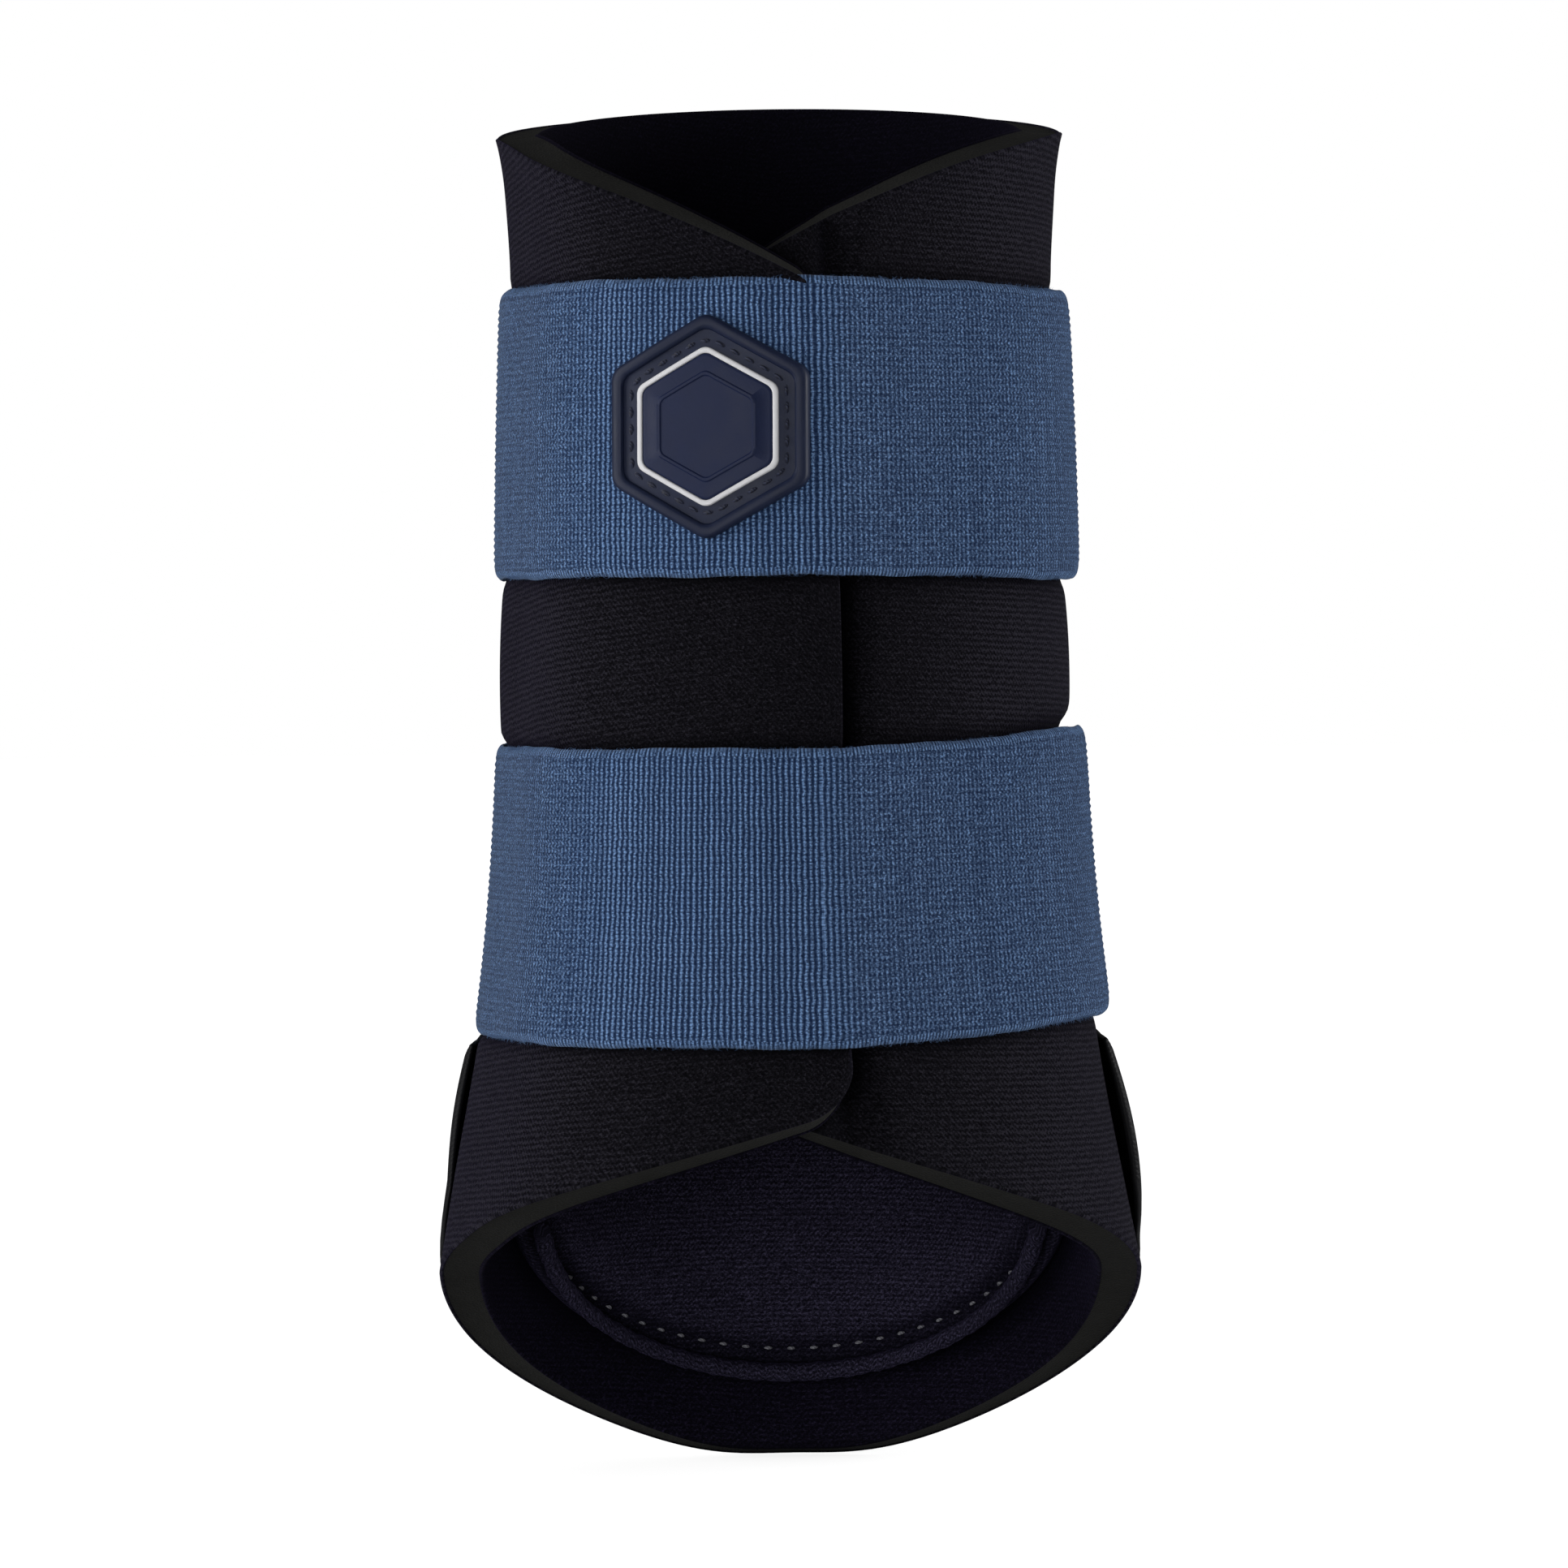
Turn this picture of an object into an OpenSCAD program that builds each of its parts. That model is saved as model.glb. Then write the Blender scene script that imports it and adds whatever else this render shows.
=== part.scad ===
// A pony's tendon boot: a laminated neoprene wrap that closes down the front of the cannon bone,
// with a moulded strike guard behind, a stitched tendon pad inside and two wide elastic straps.
// Units are millimetres. +Z is up the leg, -Y is the front, and the origin is on the leg's axis at
// half the boot's height. Angles run round the leg from the front, positive towards +X.

/* [Wrap] */
// Outer radius of the wrap just under its top edge
waist_r = 43.1; // [40:0.1:47]
// Widening of the wrap for each millimetre down the leg
taper = 0.03; // [0.01:0.005:0.04]
// Extra radius where the wrap opens round the fetlock
cup_flare = 9.5; // [7:0.1:10]
// How far the lowest edge of the cup curls back in
cup_curl = 4; // [0:0.5:6]
// Extra radius of the top edge
top_flare = 2.1; // [0:0.1:3]
// Thickness of the foam core
foam_t = 5.6; // [4:0.1:6]
// Thickness of the knitted outer facing
jersey_t = 0.7; // [0.5:0.1:1]
// Thickness of the inner lining
lining_t = 0.7; // [0.5:0.1:1]

/* [Edges] */
// Height of the top edge at the back
top_back_z = 112; // [110:0.5:116]
// Height of the top edge at the sides
top_side_z = 105.5; // [103:0.5:108]
// Height where the neck of the V meets the front edges
top_tip_z = 79; // [76:0.5:84]
// Height of the hem at the front
hem_front_z = -51.5; // [-56:0.5:-46]
// Height of the hem at the sides
hem_side_z = -77; // [-80:0.5:-72]
// Height of the hem at the back
hem_back_z = -112; // [-116:0.5:-108]
// How far past the front the left panel reaches, in degrees
left_reach = 10; // [8:1:11]
// How far past the front the right panel reaches under the left one, in degrees
right_reach = 20; // [14:1:24]
// Radius of a panel's free corners
corner_r = 6; // [5:0.5:10]
// Step inwards of the right panel under the overlap
sink = 3; // [2:0.1:4]

/* [Straps] */
// Width of the elastic webbing
strap_w = 45; // [38:1:46]
// Thickness of the elastic webbing
strap_t = 1.4; // [1:0.1:1.8]
// Height of the middle of the upper strap
upper_strap_z = 57.7; // [56:0.1:59]
// Height of the middle of the lower strap
lower_strap_z = -14.6; // [-16:0.1:-13]
// How far the upper strap's free end climbs
upper_rise = -1; // [-3:0.5:3]
// How far the lower strap's free end climbs
lower_rise = 2.5; // [0:0.5:6]
// Angle at which each strap ends on the right-hand side
strap_end = 88; // [84:0.5:88]
// Angle from the front at which each strap is sewn down behind the left-hand side
anchor_end = 126; // [116:1:126]
// Radius of a strap's free corners
strap_corner_r = 4; // [2:0.5:6]
// Thickness of the hook patch under a strap's free end
hook_t = 0.4; // [0.3:0.1:0.8]
// Thickness of the loop patch on the right panel
loop_t = 0.4; // [0.3:0.1:0.8]

/* [Strike guard] */
// Thickness of the moulded guard
guard_t = 1.8; // [1.2:0.1:2.4]
// Height of the guard's top edge
guard_top_z = 84; // [70:1:90]
// Half the guard's angle about the back, above the cup
guard_half = 47; // [30:1:48]
// Half the angle spanned by the guard's lower wings
wing_half = 88; // [80:1:89]
// Height of the top of a wing's tip
wing_top_z = -40; // [-46:1:-38]
// Margin between the guard's lower edge and the hem
guard_margin = 5; // [4:0.5:8]

/* [Tendon pad] */
// Thickness of the pad at its top
pad_t = 4; // [3:0.5:5]
// Extra thickness of the pad at its lower edge
pad_swell = 2.5; // [0:0.5:3]
// Height of the pad's lower edge at the back
pad_low_z = -96; // [-98:0.5:-92]
// How far the pad's lower edge has climbed where the pad ends
pad_climb = 28; // [20:0.5:30]
// Height of the pad's top edge
pad_top_z = 88; // [70:1:94]
// Half the angle spanned by the pad
pad_half = 75; // [60:1:78]
// Radius of the rolled edge below the pad
fold_r = 1.5; // [1:0.1:1.8]

/* [Badge] */
// Height of the moulded badge
badge_h = 35; // [28:1:36]
// Width of the moulded badge
badge_w = 31; // [24:1:32]
// Thickness of the badge's plate
badge_t = 1.1; // [0.8:0.1:1.4]
// Width of the badge's raised border
badge_border = 2; // [1.5:0.1:2.5]
// Angle of the badge's middle from the front
badge_turn = -13; // [-15:0.5:-12]

/* [Sewing] */
// Radius of the sewing thread
thread_r = 0.3; // [0.2:0.05:0.35]
// Length from one stitch to the next
stitch_pitch = 3.6; // [3:0.1:5]
// Clearance between pieces that lie on or pass each other
gap = 0.3; // [0.25:0.05:0.4]
// Clearance of a patch off the cloth that it is sewn to
lay = 0.2; // [0.15:0.05:0.3]
// Clearance of the guard and the pad off the wrap that they are sewn to
seat = 0.45; // [0.4:0.05:0.6]
// Clearance of a stitch off the surface that it lies on
thread_lay = 0.2; // [0.15:0.05:0.3]
// Distance of a sewn line from the edge that it follows
sew_inset = 4; // [3:0.5:5]

/* [Hidden] */
$fn = 24;

neoprene = [0.09, 0.09, 0.11];
lining_black = [0.06, 0.05, 0.10];
foam_grey = [0.15, 0.15, 0.13];
denim = [0.24, 0.35, 0.53];
rubber_navy = [0.11, 0.14, 0.24];
off_white = [0.88, 0.88, 0.89];

// The wrap's three plies and the overlap they make
wrap_t = jersey_t + foam_t + lining_t;
lift = wrap_t - sink + gap;
taper_z = 84;
flare_z = 15;
flare_len = 115;
curl_z = -85;
curl_len = 28;
hinge_slit = 0.4;
row_count = 11;
row_bias = 1.5;
patch_t = lay + loop_t + gap + hook_t + lay;
// Angles over which the panels step in and out round the overlap
lift_from = 70;
lift_to = 34;
sink_from = 80;
sink_to = 30;
// Angles over which a strap comes down from the left panel to the right one
bridge_end = 42;
patch_from = 46;
patch_to = 86;
patch_margin = 3;
// How much fuller the hem is on both sides of its lowest point
hem_full = 0.8;
// Angles over which a strap's anchor climbs onto the guard
climb_from = 99;
climb_run = 9;
// Bends of the neck's edges, the hem behind and the wings' upper edges; 1 is a plain sine or line
neck_bend = 0.92;
hem_bend = 1.12;
wing_bend = 4;
// Rounding of the guard's and the pad's corners, and the length over which a wing thins
guard_corner = 12;
wing_corner = 10;
wing_thin = 12;
pad_corner = 18;
swell_run = 60;

// ---- the shape of the leg's wrap ----

function ease(t) = let (u = min(1, max(0, t))) u * u * (3 - 2 * u);
function from_front(t) = abs(t > 180 ? t - 360 : t);
function arc_deg(length, r) = length / r * 180 / PI;

// Outer radius of the wrap at height z
function wrap_r(z) =
    waist_r + taper * (taper_z - z)
    + cup_flare * pow(sin(90 * min(1.2, max(0, (flare_z - z) / flare_len))), 3)
    - cup_curl * pow(max(0, (curl_z - z) / curl_len), 2)
    + top_flare * pow(max(0, (z - taper_z) / (top_side_z - taper_z)), 1.5);

// A point at angle t and height z, standing off the wrap's outer radius
function at(t, z, off) =
    let (r = wrap_r(z) + off)
    [r * sin(t), -r * cos(t), z];

// Heights of the top edge and the hem at an angle from the front
function top_z(a, reach) =
    a > 90
    ? top_side_z + (top_back_z - top_side_z) * sin(a - 90)
    : top_tip_z + (top_side_z - top_tip_z) * pow(sin(90 * (a + reach) / (90 + reach)), neck_bend);
function hem_z(a) =
    a > 90
    ? let (u = (a - 90) / 90)
      hem_side_z + (hem_back_z - hem_side_z) * sin(90 * pow(u, hem_bend))
      - hem_full * pow(sin(180 * pow(u, 3)), 2)
    : hem_front_z + (hem_side_z - hem_front_z) * a / 90;

// How much a corner of radius r takes off an edge at distance d from the corner's side
function corner_cut(d, r) = d >= r ? 0 : r - sqrt(r * r - (r - d) * (r - d));

// Steps of the overlapping panels off the wrap's outer radius, at an angle from the front
function left_step(a) = lift * ease((lift_from - a) / (lift_from - lift_to));
function right_step(a) = -sink * ease((sink_from - a) / (sink_from - sink_to));

// Angles of a panel: even steps from the hinge, then closer ones round the free corners
function spread(from, to, n) = [for (i = [0:n]) from + (to - from) * i / n];
function corner_spread(edge, way, r) =
    [for (k = [4:-1:0]) edge - way * arc_deg(r * (1 - cos(22.5 * k)), waist_r + lift)];
left_corner = corner_spread(left_reach, 1, corner_r);
right_corner = corner_spread(-right_reach, -1, corner_r);
left_angles = concat(spread(hinge_slit - 90, left_corner[0], 12), [for (k = [1:4]) left_corner[k]]);
right_angles = concat([for (k = [4:-1:1]) right_corner[k]], spread(right_corner[0], 90 - hinge_slit, 14));
back_angles = spread(90, 270, 24);

// ---- solids that follow the wrap ----

// A closed solid between two surfaces that stand off the wrap, over a list of angles.
// lo, hi give the edges' heights at an angle; inner, outer give the stand-off at an angle and height.
// A bias over 1 crowds the rows towards the lower edge, where the cup curves most.
module wrapped(angles, rows, lo, hi, inner, outer, bias = 1) {
    m = rows + 1;
    last = len(angles) - 1;
    size = len(angles) * m;
    grid = function (off)
        [for (t = angles, j = [0:rows])
            let (z = lo(t) + (hi(t) - lo(t)) * pow(j / rows, bias))
            at(t, z, off(t, z))];
    quad = function (a, b, c, d) [[a, b, c], [a, c, d]];
    skins = [for (i = [0:last - 1], j = [0:rows - 1])
        let (o = i * m + j, n = o + m)
        each concat(quad(o, o + 1, n + 1, n), quad(o + size, n + size, n + size + 1, o + size + 1))];
    rims = [for (i = [0:last - 1])
        let (o = i * m, n = o + m)
        each concat(quad(o, n, n + size, o + size),
                    quad(o + rows, o + rows + size, n + rows + size, n + rows))];
    ends = [for (j = [0:rows - 1])
        let (o = j, e = last * m + j)
        each concat(quad(o, o + size, o + size + 1, o + 1),
                    quad(e, e + 1, e + size + 1, e + size))];
    polyhedron(concat(grid(outer), grid(inner)), concat(skins, rims, ends), convexity = 6);
}

// One ply of a panel between two depths under the wrap's outer face
module left_ply(top, bottom) {
    d = function (t) (left_reach - t) * PI / 180 * (waist_r + lift);
    wrapped(left_angles, row_count,
        function (t) hem_z(-t) + corner_cut(d(t), corner_r),
        function (t) top_z(-t, left_reach) - corner_cut(d(t), corner_r),
        function (t, z) left_step(-t) - bottom,
        function (t, z) left_step(-t) - top, row_bias);
}

module right_ply(top, bottom) {
    d = function (t) (t + right_reach) * PI / 180 * (waist_r + lift);
    wrapped(right_angles, row_count,
        function (t) hem_z(t) + corner_cut(d(t), corner_r),
        function (t) top_z(t, right_reach) - corner_cut(d(t), corner_r),
        function (t, z) right_step(t) - bottom,
        function (t, z) right_step(t) - top, row_bias);
}

module back_ply(top, bottom) {
    wrapped(back_angles, row_count,
        function (t) hem_z(from_front(t)),
        function (t) top_z(from_front(t), 0),
        function (t, z) -bottom,
        function (t, z) -top, row_bias);
}

// ---- the three panels of the wrap ----

module back_foam() {
    color(foam_grey) back_ply(jersey_t, jersey_t + foam_t);
}

module back_jersey() {
    color(neoprene) back_ply(0, jersey_t);
}

module back_lining() {
    color(lining_black) back_ply(jersey_t + foam_t, wrap_t);
}

module left_foam() {
    color(foam_grey) left_ply(jersey_t, jersey_t + foam_t);
}

module left_jersey() {
    color(neoprene) left_ply(0, jersey_t);
}

module left_lining() {
    color(lining_black) left_ply(jersey_t + foam_t, wrap_t);
}

module right_foam() {
    color(foam_grey) right_ply(jersey_t, jersey_t + foam_t);
}

module right_jersey() {
    color(neoprene) right_ply(0, jersey_t);
}

module right_lining() {
    color(lining_black) right_ply(jersey_t + foam_t, wrap_t);
}

// ---- the straps ----

// The strap's middle height at an angle: only the free end climbs
function strap_mid(z, rise, t) = z + rise * ease((t - left_reach) / (strap_end - left_reach));

// A strap's clearance off the right panel while it bridges down from the left panel's edge
function tail_step(t) =
    let (u = min(1, (t - left_reach) / (bridge_end - left_reach)))
    let (landed = right_step(t) + patch_t)
    landed + (lift + gap - landed) * pow(1 - u, 2.2);

module strap_band(angles, z, rise, edge, inner, thick) {
    cut = function (t) corner_cut((edge - t) * PI / 180 * waist_r, strap_corner_r);
    wrapped(angles, 4,
        function (t) strap_mid(z, rise, t) - strap_w / 2 + cut(t),
        function (t) strap_mid(z, rise, t) + strap_w / 2 - cut(t),
        function (t, h) inner(t),
        function (t, h) inner(t) + thick);
}

// The anchor climbs onto the strike guard by over, once it has left the hinge
module strap_anchor(z, over) {
    strap_band(spread(360 - anchor_end, 270 - hinge_slit, 8), z, 0, 360,
        function (t) gap + over * ease((from_front(t) - climb_from) / climb_run), strap_t);
}

module strap_front(z) {
    strap_band(spread(hinge_slit - 90, left_reach, 16), z, 0, 360,
        function (t) left_step(-t) + gap, strap_t);
}

module strap_tail(z, rise) {
    corner = corner_spread(strap_end, 1, strap_corner_r);
    angles = concat(spread(left_reach + hinge_slit, corner[0], 14), [for (k = [1:4]) corner[k]]);
    strap_band(angles, z, rise, strap_end, function (t) tail_step(t), strap_t);
}

// A patch behind a strap's free end, a little narrower than the strap
module strap_patch(z, rise, inner, thick) {
    half = strap_w / 2 - patch_margin;
    wrapped(spread(patch_from, patch_to, 8), 4,
        function (t) strap_mid(z, rise, t) - half,
        function (t) strap_mid(z, rise, t) + half,
        function (t, h) inner(t),
        function (t, h) inner(t) + thick);
}

module loop_patch(z, rise) {
    strap_patch(z, rise, function (t) right_step(t) + lay, loop_t);
}

module hook_patch(z, rise) {
    strap_patch(z, rise, function (t) tail_step(t) - lay - hook_t, hook_t);
}

module upper_strap_anchor() {
    color(denim) strap_anchor(upper_strap_z, 0);
}

module lower_strap_anchor() {
    color(denim) strap_anchor(lower_strap_z, guard_t + seat);
}

module upper_strap_front() {
    color(denim) strap_front(upper_strap_z);
}

module lower_strap_front() {
    color(denim) strap_front(lower_strap_z);
}

module upper_strap_tail() {
    color(denim) strap_tail(upper_strap_z, upper_rise);
}

module lower_strap_tail() {
    color(denim) strap_tail(lower_strap_z, lower_rise);
}

module upper_loop_patch() {
    color(neoprene) loop_patch(upper_strap_z, upper_rise);
}

module lower_loop_patch() {
    color(neoprene) loop_patch(lower_strap_z, lower_rise);
}

module upper_hook_patch() {
    color(neoprene) hook_patch(upper_strap_z, upper_rise);
}

module lower_hook_patch() {
    color(neoprene) hook_patch(lower_strap_z, lower_rise);
}

// ---- sewing ----

// One stitch: a short rod of thread between two points
module stitch(from, to) {
    run = to - from;
    translate(from)
        rotate([0, acos(run.z / norm(run)), atan2(run.y, run.x)])
            cylinder(h = norm(run), r = thread_r, $fn = 16);
}

// A row of stitches along a path of points, one stitch between each pair
module stitch_row(path) {
    for (i = [0:len(path) - 2])
        stitch(path[i] + (path[i + 1] - path[i]) * 0.15, path[i] + (path[i + 1] - path[i]) * 0.85);
}

// Two upright rows and two level rows that sew a strap's end down
module anchor_stitches(z, over) {
    near = 360 - anchor_end + arc_deg(sew_inset / 2, waist_r);
    far = near + arc_deg(3 * sew_inset, waist_r);
    off = gap + over + strap_t + thread_r + thread_lay;
    half = strap_w / 2 - sew_inset;
    ups = floor(2 * half / stitch_pitch);
    across = floor((far - near) / arc_deg(stitch_pitch, waist_r));
    for (t = [near, far])
        stitch_row([for (i = [0:ups]) at(t, z - half + 2 * half * i / ups, off)]);
    for (side = [-1, 1])
        stitch_row([for (i = [0:across])
            at(near + 1 + (far - near - 2) * i / across, z + side * (half + 1), off)]);
}

module upper_anchor_stitches() {
    color(denim) anchor_stitches(upper_strap_z, 0);
}

module lower_anchor_stitches() {
    color(denim) anchor_stitches(lower_strap_z, guard_t + seat);
}

// ---- strike guard ----

// Upper edge of the guard at an angle from the back: a tongue that spreads into two wings
function guard_high(b) =
    b < guard_half
    ? guard_top_z - corner_cut((guard_half - b) * PI / 180 * waist_r, guard_corner)
    : let (u = (b - guard_half) / (wing_half - guard_half))
      wing_top_z + (guard_top_z - guard_corner - wing_top_z) * pow(1 - u, wing_bend);
function guard_low(b) =
    hem_z(180 - b) + guard_margin + corner_cut((wing_half - b) * PI / 180 * waist_r, wing_corner);

// The guard thins towards the tips of its wings
function guard_skin(b) = guard_t * (1 - 0.35 * ease((b - wing_half + wing_thin) / wing_thin));

guard_side = [91, 88, 84, 79, 74, 68, 62, 56, 51, 47, 44, 40, 34, 28, 21, 14, 7];

module strike_guard() {
    shown = [for (b = guard_side) if (b < wing_half) b];
    half = concat([wing_half], shown);
    last = len(half) - 1;
    angles = concat([for (b = half) 180 - b], [180], [for (i = [last:-1:0]) 180 + half[i]]);
    color([0.05, 0.05, 0.06])
        wrapped(angles, 9,
            function (t) guard_low(abs(t - 180)),
            function (t) guard_high(abs(t - 180)),
            function (t, z) seat,
            function (t, z) seat + guard_skin(abs(t - 180)), row_bias);
}

// Stitches that sew the guard down: up both sides of the tongue, across its top and along the cup
module guard_stitches() {
    side = guard_half - arc_deg(sew_inset + thread_r, waist_r);
    top = guard_top_z - sew_inset;
    foot = wing_top_z - 18;
    top_side = side - arc_deg(guard_corner, waist_r);
    wing = wing_half - arc_deg(4 * sew_inset, waist_r);
    on_guard = function (b, z) at(180 + b, z, seat + guard_skin(abs(b)) + thread_r + thread_lay);
    row = function (from, to, n, place) [for (i = [0:n]) place(from + (to - from) * i / n)];
    ups = floor((top - guard_corner - foot) / stitch_pitch / 1.5);
    tops = floor(2 * top_side / arc_deg(stitch_pitch, waist_r) / 1.5);
    lows = floor(2 * wing / arc_deg(stitch_pitch, waist_r) / 1.5);
    color(foam_grey) {
        for (way = [-1, 1])
            stitch_row(row(foot, top - guard_corner, ups, function (z) on_guard(way * side, z)));
        stitch_row(row(-top_side, top_side, tops, function (b) on_guard(b, top)));
        stitch_row(row(-wing, wing, lows,
            function (b) on_guard(b, guard_low(abs(b)) + sew_inset)));
    }
}

// ---- tendon pad ----

function pad_low(b) = pad_low_z + pad_climb * pow(b / pad_half, 2);
function pad_high(b) = pad_top_z - corner_cut((pad_half - b) * PI / 180 * waist_r, pad_corner);
function pad_depth(b, z) = pad_t + pad_swell * ease((pad_low(b) + swell_run - z) / swell_run);

module pad_layer(top, bottom) {
    wrapped(spread(180 - pad_half, 180 + pad_half, 20), 9,
        function (t) pad_low(abs(t - 180)),
        function (t) pad_high(abs(t - 180)),
        function (t, z) -wrap_t - seat - pad_depth(abs(t - 180), z) * bottom[0] - bottom[1],
        function (t, z) -wrap_t - seat - pad_depth(abs(t - 180), z) * top[0] - top[1], row_bias);
}

module tendon_pad_foam() {
    color(foam_grey) pad_layer([0, 0], [1, 0]);
}

module tendon_pad_cover() {
    color(lining_black) pad_layer([1, 0], [1, lining_t]);
}

// The rolled edge: a round cord of folded lining under the pad's lower edge
module tendon_pad_fold() {
    sides = 8;
    span = pad_half - 2;
    path = spread(180 - span, 180 + span, 28);
    ring = function (t)
        let (b = abs(t - 180), z = pad_low(b) - fold_r - gap)
        let (off = -wrap_t - seat - pad_depth(b, pad_low(b)) - lining_t + fold_r)
        [for (k = [0:sides - 1])
            at(t, z + fold_r * sin(360 * k / sides), off + fold_r * cos(360 * k / sides))];
    last = len(path) - 1;
    walls = [for (i = [0:last - 1], k = [0:sides - 1])
        let (a = i * sides + k, b = i * sides + (k + 1) % sides)
        each [[a, b, b + sides], [a, b + sides, a + sides]]];
    caps = [[for (k = [sides - 1:-1:0]) k], [for (k = [0:sides - 1]) last * sides + k]];
    color(lining_black)
        polyhedron([for (t = path) each ring(t)], concat(walls, caps), convexity = 6);
}

module tendon_pad_stitches() {
    span = pad_half - arc_deg(sew_inset, waist_r);
    count = floor(2 * span / arc_deg(stitch_pitch, waist_r));
    color([0.45, 0.45, 0.48])
        stitch_row([for (i = [0:count])
            let (t = 180 - span + 2 * span * i / count, b = abs(t - 180), z = pad_low(b) + sew_inset)
            at(t, z, -wrap_t - seat - pad_depth(b, z) - lining_t - thread_r - thread_lay)]);
}

// ---- badge ----

// A hexagon with a point at the top and rounded corners, as a list of points
function hexagon(w, h, r) =
    let (c = [[0, h / 2], [-w / 2, h / 4], [-w / 2, -h / 4], [0, -h / 2], [w / 2, -h / 4], [w / 2, h / 4]])
    [for (i = [0:5])
        let (p = c[(i + 5) % 6], q = c[i], s = c[(i + 1) % 6])
        let (u = (p - q) / norm(p - q), v = (s - q) / norm(s - q))
        let (half = acos(u * v) / 2, mid = (u + v) / norm(u + v), o = q + mid * r / sin(half))
        let (a0 = atan2(-mid.y, -mid.x) - (90 - half))
        for (k = [0:4]) o + r * [cos(a0 + 2 * (90 - half) * k / 4), sin(a0 + 2 * (90 - half) * k / 4)]];

badge_foot = upper_strap_z - strap_w / 2;
badge_head = upper_strap_z + strap_w / 2;

// A curved slab over the upper strap between two stand-offs, cut to a hexagon of the badge's shape
module badge_slab(low, high, inset) {
    face = lift + gap + strap_t + gap / 3;
    intersection() {
        translate([0, 0, badge_foot])
            difference() {
                cylinder(h = strap_w, r1 = wrap_r(badge_foot) + face + high,
                         r2 = wrap_r(badge_head) + face + high, $fn = 96);
                translate([0, 0, -0.01])
                    cylinder(h = strap_w + 0.02, r1 = wrap_r(badge_foot) + face + low,
                             r2 = wrap_r(badge_head) + face + low, $fn = 96);
            }
        rotate([0, 0, badge_turn])
            translate([0, 0, upper_strap_z])
                rotate([90, 0, 0])
                    linear_extrude(80)
                        polygon(hexagon(badge_w - 2 * inset, badge_h - 2.3 * inset, 3));
    }
}

groove = 2.4;
outline_w = 0.8;

module badge_base() {
    color(rubber_navy) {
        badge_slab(0, badge_t, 0);
        difference() {
            badge_slab(badge_t - 0.1, badge_t + 0.9, 0);
            badge_slab(badge_t - 0.2, badge_t + 1, badge_border);
        }
    }
}

module badge_field() {
    color([0.13, 0.17, 0.30])
        badge_slab(badge_t, badge_t + 0.6, badge_border + groove + outline_w);
}

module badge_outline() {
    color(off_white)
        difference() {
            badge_slab(badge_t, badge_t + 0.8, badge_border + groove);
            badge_slab(badge_t - 0.1, badge_t + 0.9, badge_border + groove + outline_w);
        }
}

// Stitches in the groove between the border and the outline
module badge_stitches() {
    inset = badge_border + groove / 2;
    w = (badge_w - 2 * inset) / 2;
    h = (badge_h - 2.3 * inset) / 2;
    corners = [[0, h], [-w, h / 2], [-w, -h / 2], [0, -h], [w, -h / 2], [w, h / 2]];
    off = lift + 2 * gap + strap_t + badge_t + thread_r;
    on_strap = function (p)
        let (z = upper_strap_z + p.y, r = wrap_r(z) + off, y = -sqrt(r * r - p.x * p.x))
        [p.x * cos(badge_turn) - y * sin(badge_turn), p.x * sin(badge_turn) + y * cos(badge_turn), z];
    color([0.07, 0.09, 0.16])
        for (i = [0:5])
            let (a = corners[i], b = corners[(i + 1) % 6])
            stitch_row([for (k = [0:4]) on_strap(a + (b - a) * (0.08 + 0.84 * k / 4))]);
}

back_foam();
back_jersey();
back_lining();
strike_guard();
guard_stitches();
tendon_pad_foam();
tendon_pad_cover();
tendon_pad_fold();
tendon_pad_stitches();
upper_strap_anchor();
upper_anchor_stitches();
lower_strap_anchor();
lower_anchor_stitches();
left_foam();
left_jersey();
left_lining();
upper_strap_front();
lower_strap_front();
badge_base();
badge_field();
badge_outline();
badge_stitches();
right_foam();
right_jersey();
right_lining();
upper_loop_patch();
lower_loop_patch();
upper_strap_tail();
upper_hook_patch();
lower_strap_tail();
lower_hook_patch();
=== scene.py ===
# %% [markdown]
# # A pony's tendon boot
# The boot is a sleeve of black neoprene that closes down the front of the leg, with a moulded strike
# guard behind, a stitched pad inside and two wide elastic straps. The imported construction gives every
# size, body and joint. This lesson dresses it: each plain solid is replaced by a finer mesh in the same
# place, and each mesh gets a material built from nodes. Shapes are written as formulas, because a
# sleeve is easy to say in angles and heights, and hard to push about by hand.

# %% Load the frame
import math
import bpy
import numpy as np
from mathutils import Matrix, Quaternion, Vector


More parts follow.
